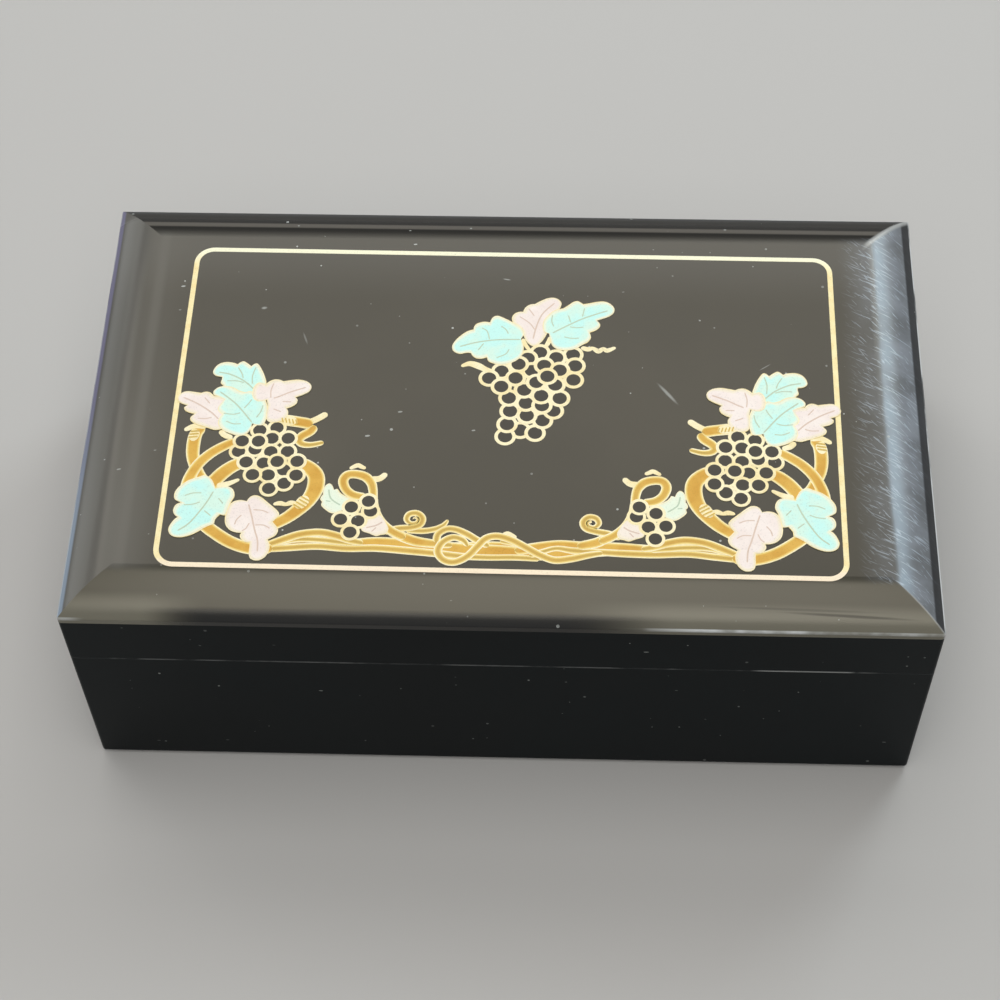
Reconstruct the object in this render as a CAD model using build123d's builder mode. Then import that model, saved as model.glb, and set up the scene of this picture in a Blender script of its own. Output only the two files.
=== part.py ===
from build123d import *
from math import cos, radians, sin
import os

os.makedirs("parts", exist_ok=True)

# Closed box: width along X, depth along Y, heights above the surface it stands on
case_width = 240.0
case_depth = 145.0
base_top = 57.4
seam_gap = 0.25
rim_height = 78.5
crown_rise = 6.0
crown_width = 14.5
corner_round = 1.0
rim_round = 0.5
seam_round = 0.15
foot_round = 1.0

# Boards of the case
board_thickness = 8.0
top_panel_thickness = 8.0
bottom_thickness = 3.0
bottom_rabbet = 4.0
glue_gap = 0.1
felt_thickness = 1.0
felt_inset = 2.0

# Lining of the base, whose top edges carry the tray
lining_thickness = 3.5
lining_height = 29.0
liner_card = 1.2
liner_gap = 0.2
velvet_round = 0.5

# Lift-out tray
tray_clearance = 1.4
tray_seat_gap = 0.2
tray_height = 21.0
tray_wall = 3.0
tray_floor_thickness = 2.0
divider_thickness = 2.5
divider_drop = 1.5
ring_section_width = 82.0
long_divider_offset = 0.0
short_divider_offset = 12.0

# Ring cushion
roll_count = 8
roll_gap = 0.2
roll_height = 16.5
roll_shoulder = 10.5
roll_end_gap = 0.3
roll_end_taper = 0.86
roll_end_length = 5.0

# Mirror and lining of the lid
mirror_width = 190.0
mirror_depth = 96.0
mirror_thickness = 2.0
mirror_gap = 0.3
mirror_lip = 3.0
surround_lip_thickness = 1.2
surround_corner = 5.0
lid_lining_thickness = 0.8
lid_lining_foot = 0.8

# Stop hinges
hinge_spacing = 140.0
hinge_length = 22.0
leaf_width = 6.0
leaf_thickness = 0.9
leaf_gap = 0.1
barrel_radius = 1.6
barrel_gap = 0.2
pin_radius = 0.8
pin_fit = 0.02
pin_running_fit = 0.05
pin_overhang = 0.3
middle_knuckle = 8.0
open_angle = 100.0
stop_length = 5.5
stop_gap = 0.1

# Hinge screws
screw_radius = 0.8
screw_head_radius = 1.45
screw_length = 6.0
screw_fit = 0.02
screw_slot_width = 0.35
screw_slot_depth = 0.25
screw_sink_angle = 90.0
screw_spacing = 14.0
screw_inset = 3.4

# Heights and inner sizes that follow
lid_bottom = base_top + seam_gap
case_top = rim_height + crown_rise
panel_underside = case_top - top_panel_thickness
board_bottom = felt_thickness
bottom_upper_face = board_bottom + bottom_thickness
inner_width = case_width - 2 * board_thickness
inner_depth = case_depth - 2 * board_thickness
lining_top = bottom_upper_face + lining_height
surround_bottom = panel_underside - mirror_thickness - surround_lip_thickness
hinge_y = case_depth / 2 + barrel_radius + barrel_gap
hinge_z = base_top + seam_gap / 2

tray_width = inner_width - 2 * tray_clearance
tray_depth = inner_depth - 2 * tray_clearance
tray_bottom = lining_top + tray_seat_gap
tray_floor_top = tray_bottom + tray_floor_thickness
tray_top = tray_bottom + tray_height
divider_top = tray_top - divider_drop
tray_inner_width = tray_width - 2 * tray_wall
tray_inner_depth = tray_depth - 2 * tray_wall

sides = ("front", "right", "back", "left")


def save(piece, name):
    """Label a finished piece and write it under its own name."""
    piece.part.label = name
    export_step(piece.part, f"parts/{name}.step")


def corners(width, depth):
    """Corners of a centred rectangle, anticlockwise from the front left."""
    x = width / 2
    y = depth / 2
    return [(-x, -y), (x, -y), (x, y), (-x, y)]


def frame_board(side, width, depth, thickness, bottom, top, corner=0.0, rounds=(0.0, 0.0)):
    """One mitred board of a rectangular frame; rounds holds the radii of its lower and upper outer edges."""
    index = sides.index(side)
    following = (index + 1) % len(sides)
    outer = corners(width, depth)
    inner = corners(width - 2 * thickness, depth - 2 * thickness)
    with BuildPart() as board:
        with BuildSketch(Plane.XY.offset(bottom)):
            if corner:
                RectangleRounded(width, depth, corner)
            else:
                Rectangle(width, depth)
        extrude(amount=top - bottom)
        for level, radius in zip((0, -1), rounds):
            if radius:
                fillet(board.edges().group_by(Axis.Z)[level], radius)
        with BuildSketch(Plane.XY.offset(bottom)):
            with BuildLine():
                Polyline(outer[index], outer[following], inner[following], inner[index], close=True)
            make_face()
        extrude(amount=top - bottom, mode=Mode.INTERSECT)
    return board


def slab(center, size, bottom, thickness, round_top=0.0):
    """A flat panel on a given height, with its upper edges rounded if asked."""
    with BuildPart() as panel:
        with BuildSketch(Plane.XY.offset(bottom)):
            with Locations(center):
                Rectangle(*size)
        extrude(amount=thickness)
        if round_top:
            fillet(panel.faces().sort_by(Axis.Z)[-1].edges(), round_top)
    return panel


def leaf_centers():
    """Middle of each hinge along X."""
    return {"left": -hinge_spacing / 2, "right": hinge_spacing / 2}


def screw_places(height):
    """Centre of every screw head of one half of the hinges."""
    places = []
    for center in leaf_centers().values():
        for step in (-screw_spacing / 2, screw_spacing / 2):
            places.append((center + step, case_depth / 2 - screw_inset, height))
    return places


def hinge_recess(face_height, inward):
    """Cut the hinge mortises and screw holes into the open block; inward is -1 for down and 1 for up."""
    edge = Align.MAX if inward < 0 else Align.MIN
    for center in leaf_centers().values():
        with Locations((center, case_depth / 2, face_height)):
            Box(hinge_length + 2 * leaf_gap, leaf_width + leaf_gap, leaf_thickness,
                align=(Align.CENTER, Align.MAX, edge), mode=Mode.SUBTRACT)
    for place in screw_places(face_height + inward * leaf_thickness):
        with Locations(Plane(origin=place, z_dir=(0, 0, -inward))):
            Hole(screw_radius + screw_fit, depth=screw_length - leaf_thickness + screw_fit)


# Base boards, with a rabbet for the bottom board
for side in sides:
    board = frame_board(side, case_width, case_depth, board_thickness, board_bottom, base_top,
                        corner_round, (foot_round, seam_round))
    with BuildPart() as wall:
        add(board.part)
        with BuildSketch(Plane.XY.offset(board_bottom)):
            Rectangle(inner_width + 2 * bottom_rabbet, inner_depth + 2 * bottom_rabbet)
        extrude(amount=bottom_thickness, mode=Mode.SUBTRACT)
        if side == "back":
            hinge_recess(base_top, -1)
    save(wall, f"base_{side}")

# Bottom board and the felt under it
bottom_size = (inner_width + 2 * (bottom_rabbet - glue_gap), inner_depth + 2 * (bottom_rabbet - glue_gap))
base_bottom = slab((0, 0), bottom_size, board_bottom, bottom_thickness)
save(base_bottom, "base_bottom")

felt_size = (case_width - 2 * felt_inset, case_depth - 2 * felt_inset)
base_felt = slab((0, 0), felt_size, 0, felt_thickness)
save(base_felt, "base_felt")

# Velvet-covered lining boards of the base
for side in sides:
    lining = frame_board(side, inner_width, inner_depth, lining_thickness, bottom_upper_face, lining_top)
    save(lining, f"lining_{side}")

lined_width = inner_width - 2 * lining_thickness
lined_depth = inner_depth - 2 * lining_thickness
lining_floor = slab((0, 0), (lined_width - 2 * liner_gap, lined_depth - 2 * liner_gap),
                    bottom_upper_face, liner_card)
save(lining_floor, "lining_floor")

# Tray floor and walls
tray_floor = slab((0, 0), (tray_width, tray_depth), tray_bottom, tray_floor_thickness)
save(tray_floor, "tray_floor")

for side in sides:
    tray_side = frame_board(side, tray_width, tray_depth, tray_wall, tray_floor_top, tray_top,
                            velvet_round, (0.0, velvet_round))
    save(tray_side, f"tray_{side}")

# Tray dividers: one beside the rings, one along the tray, one across its front half
tray_left_face = -tray_inner_width / 2
ring_divider_x = tray_left_face + ring_section_width + divider_thickness / 2
store_left = ring_divider_x + divider_thickness / 2
store_right = tray_inner_width / 2
store_width = store_right - store_left
store_x = (store_left + store_right) / 2
divider_height = divider_top - tray_floor_top
front_face = -tray_inner_depth / 2
back_face = tray_inner_depth / 2
long_front = long_divider_offset - divider_thickness / 2
long_back = long_divider_offset + divider_thickness / 2
short_x = store_x + short_divider_offset

tray_divider_rings = slab((ring_divider_x, 0), (divider_thickness, tray_inner_depth),
                          tray_floor_top, divider_height, velvet_round)
save(tray_divider_rings, "tray_divider_rings")

tray_divider_long = slab((store_x, long_divider_offset), (store_width, divider_thickness),
                         tray_floor_top, divider_height, velvet_round)
save(tray_divider_long, "tray_divider_long")

tray_divider_short = slab((short_x, (front_face + long_front) / 2),
                          (divider_thickness, long_front - front_face),
                          tray_floor_top, divider_height, velvet_round)
save(tray_divider_short, "tray_divider_short")

# Velvet liners on the floor of the tray's compartments, each given by its left, right, front and back
short_left = short_x - divider_thickness / 2
short_right = short_x + divider_thickness / 2
compartments = {
    "back": (store_left, store_right, long_back, back_face),
    "front_left": (store_left, short_left, front_face, long_front),
    "front_right": (short_right, store_right, front_face, long_front),
}
for place, (left, right, front, back) in compartments.items():
    liner = slab(((left + right) / 2, (front + back) / 2),
                 (right - left - 2 * liner_gap, back - front - 2 * liner_gap), tray_floor_top, liner_card)
    save(liner, f"tray_liner_{place}")

# Ring rolls: flat below, crowned above, drawn in at both ends
roll_pitch = tray_inner_depth / roll_count
roll_width = roll_pitch - roll_gap
roll_middle_x = tray_left_face + ring_section_width / 2
roll_half_length = ring_section_width / 2 - roll_end_gap
roll_stations = (
    (-roll_half_length, roll_end_taper),
    (roll_end_length - roll_half_length, 1.0),
    (roll_half_length - roll_end_length, 1.0),
    (roll_half_length, roll_end_taper),
)
for number in range(roll_count):
    roll_y = front_face + (number + 0.5) * roll_pitch
    with BuildPart() as ring_roll:
        for station, share in roll_stations:
            half = roll_width / 2 * share
            shoulder = roll_shoulder * share
            with BuildSketch(Plane.YZ.offset(roll_middle_x + station)):
                with BuildLine():
                    Polyline((roll_y - half, tray_floor_top + shoulder), (roll_y - half, tray_floor_top),
                             (roll_y + half, tray_floor_top), (roll_y + half, tray_floor_top + shoulder))
                    ThreePointArc((roll_y + half, tray_floor_top + shoulder),
                                  (roll_y, tray_floor_top + roll_height * share),
                                  (roll_y - half, tray_floor_top + shoulder))
                make_face()
        loft(ruled=True)
    save(ring_roll, f"ring_roll_{number + 1}")

# Lid boards
for side in sides:
    board = frame_board(side, case_width, case_depth, board_thickness, lid_bottom, panel_underside,
                        corner_round, (seam_round, 0.0))
    with BuildPart() as rail:
        add(board.part)
        if side == "back":
            hinge_recess(lid_bottom, 1)
    save(rail, f"lid_{side}")


def crown_section(length, plane):
    """Face across the top panel: upright edge, then a round border that runs level into the flat."""
    half = length / 2
    flat = half - crown_width
    with BuildSketch(plane) as section:
        with BuildLine():
            Polyline((-half, rim_height), (-half, panel_underside),
                     (half, panel_underside), (half, rim_height))
            TangentArc((flat, case_top), (half, rim_height), tangent=(1, 0))
            Line((flat, case_top), (-flat, case_top))
            TangentArc((-flat, case_top), (-half, rim_height), tangent=(-1, 0))
        make_face()
        fillet(section.vertices().group_by(Axis.Y)[1], rim_round)
    return section.sketch


# Top panel: the same crowned section in both directions meets in mitres at the corners
with BuildPart() as lid_top:
    extrude(crown_section(case_width, Plane.XZ), amount=case_depth / 2, both=True)
    extrude(crown_section(case_depth, Plane.YZ), amount=case_width / 2, both=True, mode=Mode.INTERSECT)
    with BuildSketch(Plane.XY.offset(panel_underside)):
        RectangleRounded(case_width, case_depth, corner_round)
    extrude(amount=top_panel_thickness, mode=Mode.INTERSECT)
save(lid_top, "lid_top")

# Mirror, and the velvet surround with its window and the pocket that holds the mirror
mirror = slab((0, 0), (mirror_width, mirror_depth), panel_underside - mirror_thickness, mirror_thickness)
save(mirror, "mirror")

with BuildPart() as mirror_surround:
    with BuildSketch(Plane.XY.offset(surround_bottom)):
        Rectangle(inner_width - 2 * liner_gap, inner_depth - 2 * liner_gap)
        RectangleRounded(mirror_width - 2 * mirror_lip, mirror_depth - 2 * mirror_lip, surround_corner,
                         mode=Mode.SUBTRACT)
    extrude(amount=panel_underside - surround_bottom)
    with BuildSketch(Plane.XY.offset(panel_underside - mirror_thickness)):
        Rectangle(mirror_width + 2 * mirror_gap, mirror_depth + 2 * mirror_gap)
    extrude(amount=mirror_thickness, mode=Mode.SUBTRACT)
save(mirror_surround, "mirror_surround")

# Velvet strips on the inner faces of the lid boards
for side in sides:
    strip = frame_board(side, inner_width, inner_depth, lid_lining_thickness,
                        lid_bottom + lid_lining_foot, surround_bottom)
    save(strip, f"lid_lining_{side}")


def hinge_plane(x):
    """Plane across the hinge at a place along X, its origin on the pin's axis."""
    return Plane(origin=(x, hinge_y, hinge_z), x_dir=(0, 1, 0), z_dir=(1, 0, 0))


def leaf_section(side_sign, inner_end):
    """Plate and stop of a leaf, starting inner_end from the pin's axis; 0 joins them to a knuckle."""
    half_turn = open_angle / 2
    plate_start = barrel_radius + barrel_gap + leaf_width
    with Locations((-(plate_start + inner_end) / 2, side_sign * (seam_gap + leaf_thickness) / 2)):
        Rectangle(plate_start - inner_end, leaf_thickness)
    reach = (stop_length + inner_end) / 2
    offset = (leaf_thickness + stop_gap) / 2
    stop_y = reach * cos(radians(half_turn)) - offset * sin(radians(half_turn))
    stop_z = reach * sin(radians(half_turn)) + offset * cos(radians(half_turn))
    with Locations((stop_y, side_sign * stop_z)):
        Rectangle(stop_length - inner_end, leaf_thickness, rotation=side_sign * half_turn)


def hinge_leaf(center, side_sign, own_spans, other_spans, bore):
    """A leaf with its knuckles and its stop; side_sign is -1 for the base half and 1 for the lid half."""
    start = center - hinge_length / 2
    with BuildPart() as leaf:
        for low, high in own_spans:
            with BuildSketch(hinge_plane(start + low)):
                leaf_section(side_sign, 0.0)
                Circle(barrel_radius)
            extrude(amount=high - low)
        for low, high in other_spans:
            with BuildSketch(hinge_plane(start + low)):
                leaf_section(side_sign, barrel_radius + barrel_gap)
            extrude(amount=high - low)
        with BuildSketch(hinge_plane(start)):
            Circle(bore)
        extrude(amount=hinge_length, mode=Mode.SUBTRACT)
        for x, y, z in screw_places(hinge_z + side_sign * seam_gap / 2):
            if abs(x - center) < hinge_length / 2:
                with Locations(Plane(origin=(x, y, z), z_dir=(0, 0, -side_sign))):
                    CounterSinkHole(screw_radius + screw_fit, screw_head_radius + screw_fit,
                                    depth=leaf_thickness, counter_sink_angle=screw_sink_angle)
    return leaf


# Hinge leaves: the base half has the outer knuckles, the lid half the middle one
outer_knuckle = (hinge_length - middle_knuckle) / 2 - barrel_gap
outer_spans = ((0.0, outer_knuckle), (hinge_length - outer_knuckle, hinge_length))
middle_span = ((outer_knuckle + barrel_gap, hinge_length - outer_knuckle - barrel_gap),)
gap_and_middle = ((outer_knuckle, hinge_length - outer_knuckle),)
outer_and_gaps = ((0.0, outer_knuckle + barrel_gap),
                  (hinge_length - outer_knuckle - barrel_gap, hinge_length))
for hand, center in leaf_centers().items():
    base_leaf = hinge_leaf(center, -1, outer_spans, gap_and_middle, pin_radius + pin_fit)
    save(base_leaf, f"hinge_{hand}_base_leaf")
    lid_leaf = hinge_leaf(center, 1, middle_span, outer_and_gaps, pin_radius + pin_running_fit)
    save(lid_leaf, f"hinge_{hand}_lid_leaf")
    with BuildPart() as hinge_pin:
        with BuildSketch(hinge_plane(center - hinge_length / 2 - pin_overhang)):
            Circle(pin_radius)
        extrude(amount=hinge_length + 2 * pin_overhang)
        chamfer(hinge_pin.edges().filter_by(GeomType.CIRCLE), pin_overhang)
    save(hinge_pin, f"hinge_{hand}_pin")


def hinge_screws(side_sign):
    """Countersunk screws of one half of both hinges, heads level with the leaves."""
    head_height = screw_head_radius - screw_radius
    with BuildPart() as screws:
        for x, y, z in screw_places(hinge_z + side_sign * seam_gap / 2):
            with BuildSketch(Plane(origin=(x, y, z), x_dir=(1, 0, 0), z_dir=(0, -1, 0))):
                with BuildLine():
                    Polyline((0, 0), (screw_head_radius, 0), (screw_radius, side_sign * head_height),
                             (screw_radius, side_sign * screw_length), (0, side_sign * screw_length),
                             close=True)
                make_face()
            revolve(axis=Axis((x, y, z), (0, 0, 1)))
            with BuildSketch(Plane.XY.offset(z)):
                with Locations((x, y)):
                    Rectangle(2 * screw_head_radius, screw_slot_width)
            extrude(amount=side_sign * screw_slot_depth, mode=Mode.SUBTRACT)
    return screws


for half, side_sign in (("base", -1), ("lid", 1)):
    save(hinge_screws(side_sign), f"{half}_hinge_screws")
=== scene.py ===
"""Lacquered jewelry box: finishes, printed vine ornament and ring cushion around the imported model.

Everything is in metres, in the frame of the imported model: +Z up, the box stands on z = 0
and its front faces -Y.
"""

import logging
import math
from dataclasses import dataclass, replace
from enum import Enum

import bmesh
import bpy
from mathutils import Matrix, Vector, geometry


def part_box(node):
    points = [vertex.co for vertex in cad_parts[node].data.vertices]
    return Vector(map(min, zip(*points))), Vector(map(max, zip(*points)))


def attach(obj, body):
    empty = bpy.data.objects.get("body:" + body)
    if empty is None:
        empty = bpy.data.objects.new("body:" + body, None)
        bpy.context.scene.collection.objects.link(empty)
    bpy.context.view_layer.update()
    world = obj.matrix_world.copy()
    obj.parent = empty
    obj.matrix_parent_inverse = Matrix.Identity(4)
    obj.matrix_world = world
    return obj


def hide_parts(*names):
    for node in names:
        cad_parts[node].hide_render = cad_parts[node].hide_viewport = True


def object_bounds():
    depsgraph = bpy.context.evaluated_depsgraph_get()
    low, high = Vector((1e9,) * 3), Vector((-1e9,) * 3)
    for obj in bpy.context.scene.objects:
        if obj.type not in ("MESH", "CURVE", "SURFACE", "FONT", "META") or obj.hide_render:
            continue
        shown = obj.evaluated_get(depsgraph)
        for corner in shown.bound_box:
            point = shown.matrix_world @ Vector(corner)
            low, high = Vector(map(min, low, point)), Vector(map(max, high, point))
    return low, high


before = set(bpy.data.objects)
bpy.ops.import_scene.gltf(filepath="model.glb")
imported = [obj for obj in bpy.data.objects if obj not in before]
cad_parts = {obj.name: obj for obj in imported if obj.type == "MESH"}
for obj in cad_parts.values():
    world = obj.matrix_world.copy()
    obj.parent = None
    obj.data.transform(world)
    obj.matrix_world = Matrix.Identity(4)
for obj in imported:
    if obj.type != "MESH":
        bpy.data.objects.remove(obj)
CAD_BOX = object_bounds()

MM = 0.001
TONE = "tone"
LOG = logging.getLogger("jewelry_box")

Color = tuple[float, float, float, float]
Point = tuple[float, float]
Socket = bpy.types.NodeSocket
Value = float | tuple | Socket


def srgb(red: float, green: float, blue: float) -> Color:
    """Turns a screen colour into the linear colour that shaders take.

    Args:
        red: Red, 0 to 255.
        green: Green, 0 to 255.
        blue: Blue, 0 to 255.

    Returns:
        The linear colour with full alpha.
    """
    linear = []
    for channel in (red, green, blue):
        share = channel / 255
        linear.append(share / 12.92 if share <= 0.04045 else ((share + 0.055) / 1.055) ** 2.4)
    return (*linear, 1.0)


class Slot(Enum):
    """The inks of the print, one mesh for each. Their values name the record's material slots, which nothing
    here reads.
    """

    LACQUER = "black_lacquer"
    VELVET = "red_velvet"
    GOLD = "gold_print"
    VINE = "vine_print"
    MINT = "mint_print"
    PINK = "pink_print"


class Body(Enum):
    """The bodies that new pieces ride on."""

    LID = "lid"
    TRAY = "tray"


@dataclass(frozen=True)
class Fade:
    """A smooth change of a result, from start at the reading low to end at the reading high."""

    low: float
    high: float
    start: float = 0.0
    end: float = 1.0


class Graph:
    """A material's node tree, with a short method for each kind of node."""

    dot_spread: float = 4.0

    def __init__(self, name: str) -> None:
        """Starts a material.

        Args:
            name: The material's name.
        """
        self.material = bpy.data.materials.new(name)
        self.material.use_nodes = True
        self.tree = self.material.node_tree
        self.shader = self.tree.nodes["Principled BSDF"]
        self.position = self.node("ShaderNodeTexCoord").outputs["Object"]
        self.colour: Value = srgb(0, 0, 0)

    def node(
        self, kind: str, feeds: dict[str | int, Value] | None = None, **settings: object
    ) -> bpy.types.Node:
        """Adds a node.

        Args:
            kind: The node's type.
            feeds: Sockets or constants by input name or number.
            **settings: The node's own properties.

        Returns:
            The new node.
        """
        made = self.tree.nodes.new(kind)
        for name, value in settings.items():
            setattr(made, name, value)
        for key, value in (feeds or {}).items():
            self.feed(made.inputs[key], value)
        return made

    def feed(self, entry: Socket, value: Value) -> None:
        """Links a socket to an input, or sets the input to a constant."""
        if isinstance(value, bpy.types.NodeSocket):
            self.tree.links.new(value, entry)
        else:
            entry.default_value = value

    def surface(self, **feeds: Value) -> None:
        """Feeds the surface shader by input name, with spaces written as underscores."""
        for name, value in feeds.items():
            self.feed(self.shader.inputs[name.replace("_", " ")], value)

    def math(self, operation: str, first: Value, second: Value = 0.0) -> Socket:
        """Returns the result of a scalar operation."""
        return self.node("ShaderNodeMath", {0: first, 1: second}, operation=operation).outputs[0]

    def chain(self, operation: str, values: tuple[Value, ...]) -> Socket:
        """Returns the result of a scalar operation on one value after another."""
        result = values[0]
        for value in values[1:]:
            result = self.math(operation, result, value)
        return result

    def product(self, *values: Value) -> Socket:
        """Returns the product of values."""
        return self.chain("MULTIPLY", values)

    def largest(self, *values: Value) -> Socket:
        """Returns the largest of values."""
        return self.chain("MAXIMUM", values)

    def least(self, *values: Value) -> Socket:
        """Returns the least of values."""
        return self.chain("MINIMUM", values)

    def less(self, first: Value, second: Value) -> Socket:
        """Returns the first value less the second."""
        return self.math("SUBTRACT", first, second)

    def gap(self, first: Value, second: Value) -> Socket:
        """Returns how far two values lie apart."""
        return self.math("ABSOLUTE", self.less(first, second))

    def axis(self, name: str) -> Socket:
        """Returns one object coordinate, X, Y or Z."""
        return self.node("ShaderNodeSeparateXYZ", {0: self.position}).outputs[name]

    def turned(self, angle: float, scale: tuple[float, float, float], place: Vector | None = None) -> Socket:
        """Centres, turns about Z and stretches the object coordinates.

        Args:
            angle: Turn about Z, in degrees.
            scale: Scale along each turned axis.
            place: The point that becomes the origin.

        Returns:
            The changed coordinates.
        """
        feeds = {0: self.position, 1: place or Vector()}
        centred = self.node("ShaderNodeVectorMath", feeds, operation="SUBTRACT").outputs[0]
        feeds = {"Vector": centred, "Angle": math.radians(-angle)}
        turn = self.node("ShaderNodeVectorRotate", feeds, rotation_type="Z_AXIS").outputs[0]
        return self.node("ShaderNodeVectorMath", {0: turn, 1: scale}, operation="MULTIPLY").outputs[0]

    def noise(self, scale: float, detail: float = 2.0, vector: Socket | None = None) -> Socket:
        """Returns a noise value.

        Args:
            scale: Features per metre.
            detail: Octaves.
            vector: The coordinates, or None for the object coordinates.

        Returns:
            The noise, about 0.3 to 0.7.
        """
        feeds = {"Vector": vector or self.position, "Scale": scale, "Detail": detail}
        return self.node("ShaderNodeTexNoise", feeds).outputs["Fac"]

    def dots(self, scale: float, radius: float, vector: Socket | None = None) -> Socket:
        """Returns 1 inside small scattered dots and 0 elsewhere.

        Args:
            scale: Cells per metre, one dot in each.
            radius: The dots' largest radius, as a share of a cell.
            vector: The coordinates, or None for the object coordinates.

        Returns:
            The mask.
        """
        cells = self.node("ShaderNodeTexVoronoi", {"Vector": vector or self.position, "Scale": scale})
        share = self.node("ShaderNodeSeparateColor", {0: cells.outputs["Color"]}).outputs["Red"]
        size = self.product(self.math("POWER", share, self.dot_spread), radius)
        return self.math("LESS_THAN", cells.outputs["Distance"], size)

    def fade(self, value: Value, fade: Fade) -> Socket:
        """Maps a value smoothly from one range to another.

        Args:
            value: The value.
            fade: The range of readings and that of results.

        Returns:
            The mapped value, clamped.
        """
        feeds = {
            "Value": value, "From Min": fade.low, "From Max": fade.high,
            "To Min": fade.start, "To Max": fade.end,
        }
        return self.node("ShaderNodeMapRange", feeds, interpolation_type="SMOOTHSTEP").outputs["Result"]

    def mix(self, share: Value, first: Value, second: Value) -> Socket:
        """Blends two colours."""
        blend = self.node("ShaderNodeMix", data_type="RGBA")
        for entry, value in zip((0, 6, 7), (share, first, second)):
            self.feed(blend.inputs[entry], value)
        return blend.outputs[2]

    def lay(self, share: Value, colour: Value) -> None:
        """Lays a colour over the surface's colour so far."""
        self.colour = self.mix(share, self.colour, colour)

    def bump(self, height: Value, distance: float, normal: Socket | None = None) -> Socket:
        """Turns a height into a normal.

        Args:
            height: The height, 0 to 1.
            distance: The relief in metres.
            normal: A normal to build on.

        Returns:
            The changed normal.
        """
        feeds = {"Height": height, "Distance": distance, "Strength": 1.0}
        if normal is not None:
            feeds["Normal"] = normal
        return self.node("ShaderNodeBump", feeds).outputs["Normal"]


class Finish:
    """A surface that can be made into a material."""

    def material(self, name: str) -> bpy.types.Material:
        """Makes the finish's material.

        Args:
            name: The material's name.

        Returns:
            The material.
        """
        graph = Graph(name)
        self.paint(graph)
        graph.surface(Base_Color=graph.colour)
        return graph.material

    def paint(self, graph: Graph) -> None:
        """Wires up the material and leaves its colour in the graph."""
        raise NotImplementedError


@dataclass(frozen=True)
class Scuff:
    """A single mark on the lid, a soft ellipse in metres and degrees. Scuffs are rubbed marks; the dark lines
    are painted shade.
    """

    x: float
    y: float
    length: float
    width: float
    angle: float
    strength: float


@dataclass(frozen=True)
class Stripe:
    """A soft stripe of painted reflection along an edge of the lid: its distance from the edge, its width and
    its colour.
    """

    distance: float
    width: Fade
    colour: Color


@dataclass(frozen=True)
class Hairlines:
    """Hairline scratches in one direction: degrees from +X, typical distance and length, and rareness."""

    angle: float
    spacing: float
    length: float
    rareness: Fade


@dataclass(frozen=True)
class Lacquer(Finish):
    """Black lacquer with clouds, orange peel and dust. Sizes in metres."""

    base: Color
    haze: Color
    roughness: float
    specular: float
    half_width: float
    half_depth: float
    # A pale colour for the seam's line and the lid's mitres: partly wear, partly painted highlight.
    wear_and_highlight: Color = srgb(176, 178, 176)
    dust: Color = srgb(190, 194, 190)
    cloud_scale: float = 14.0
    clouds: Fade = Fade(0.35, 0.7)
    peel_scale: float = 260.0
    peel_height: float = 0.003 * MM
    dust_cells: float = 250.0
    dust_radius: float = 0.12
    dash_radius: float = 0.084
    dash_angle: float = 8.0
    dash_stretch: tuple[float, float, float] = (0.4, 1.0, 1.4)
    thinning_scale: float = 30.0
    thinning: Fade = Fade(0.4, 0.6, 0.25, 0.85)

    def cloud(self, graph: Graph) -> Socket:
        """Returns the strength of the haze in slow clouds."""
        return graph.fade(graph.noise(self.cloud_scale, detail=3.0), self.clouds)

    def peel(self, graph: Graph) -> Socket:
        """Returns the normal of the lacquer's faint orange peel."""
        return graph.bump(graph.noise(self.peel_scale), self.peel_height)

    def specks(self, graph: Graph) -> Socket:
        """Returns the strength of scattered specks and short dashes of dust."""
        along = graph.turned(self.dash_angle, self.dash_stretch)
        specks = graph.dots(self.dust_cells, self.dust_radius)
        dashes = graph.dots(self.dust_cells, self.dash_radius, along)
        thinned = graph.fade(graph.noise(self.thinning_scale), self.thinning)
        return graph.product(graph.largest(specks, dashes), thinned)


@dataclass(frozen=True)
class BoardLacquer(Lacquer):
    """The boards' lacquer, lighter along the seam between base and lid: partly wear, with a chip, and partly
    a painted highlight on the seam's edges.
    """

    dust_strength: float = 0.6
    seam: float = 57.5 * MM
    near_seam: Fade = Fade(0.42 * MM, 0.21 * MM)
    near_outside: Fade = Fade(0.5 * MM, 0.25 * MM)
    chip_start: Fade = Fade(68 * MM, 74 * MM)
    chip_end: Fade = Fade(99 * MM, 96 * MM)
    chip_strength: float = 0.75
    patch_scale: float = 90.0
    patches: Fade = Fade(0.4, 0.62, 0.06, 0.3)
    rougher: float = 0.08

    def paint(self, graph: Graph) -> None:
        """Paints the boards' lacquer."""
        cloud, x = self.cloud(graph), graph.axis("X")
        graph.colour = graph.mix(cloud, self.base, self.haze)
        graph.lay(graph.product(self.specks(graph), self.dust_strength), self.dust)
        outside = graph.least(
            graph.less(self.half_width, graph.math("ABSOLUTE", x)),
            graph.less(self.half_depth, graph.math("ABSOLUTE", graph.axis("Y"))),
        )
        off_seam = graph.gap(graph.axis("Z"), self.seam)
        at_seam = graph.product(graph.fade(off_seam, self.near_seam), graph.fade(outside, self.near_outside))
        chip = graph.product(graph.fade(x, self.chip_start), graph.fade(x, self.chip_end), self.chip_strength)
        patchy = graph.fade(graph.noise(self.patch_scale, detail=4.0), self.patches)
        # The seam's lighter line: a painted highlight on its edges, in patches, and a worn chip.
        graph.lay(graph.product(at_seam, graph.largest(patchy, chip)), self.wear_and_highlight)
        rough = Fade(0.0, 1.0, self.roughness, self.roughness + self.rougher)
        graph.surface(Specular_IOR_Level=self.specular)
        graph.surface(Roughness=graph.fade(cloud, rough), Normal=self.peel(graph))


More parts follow.
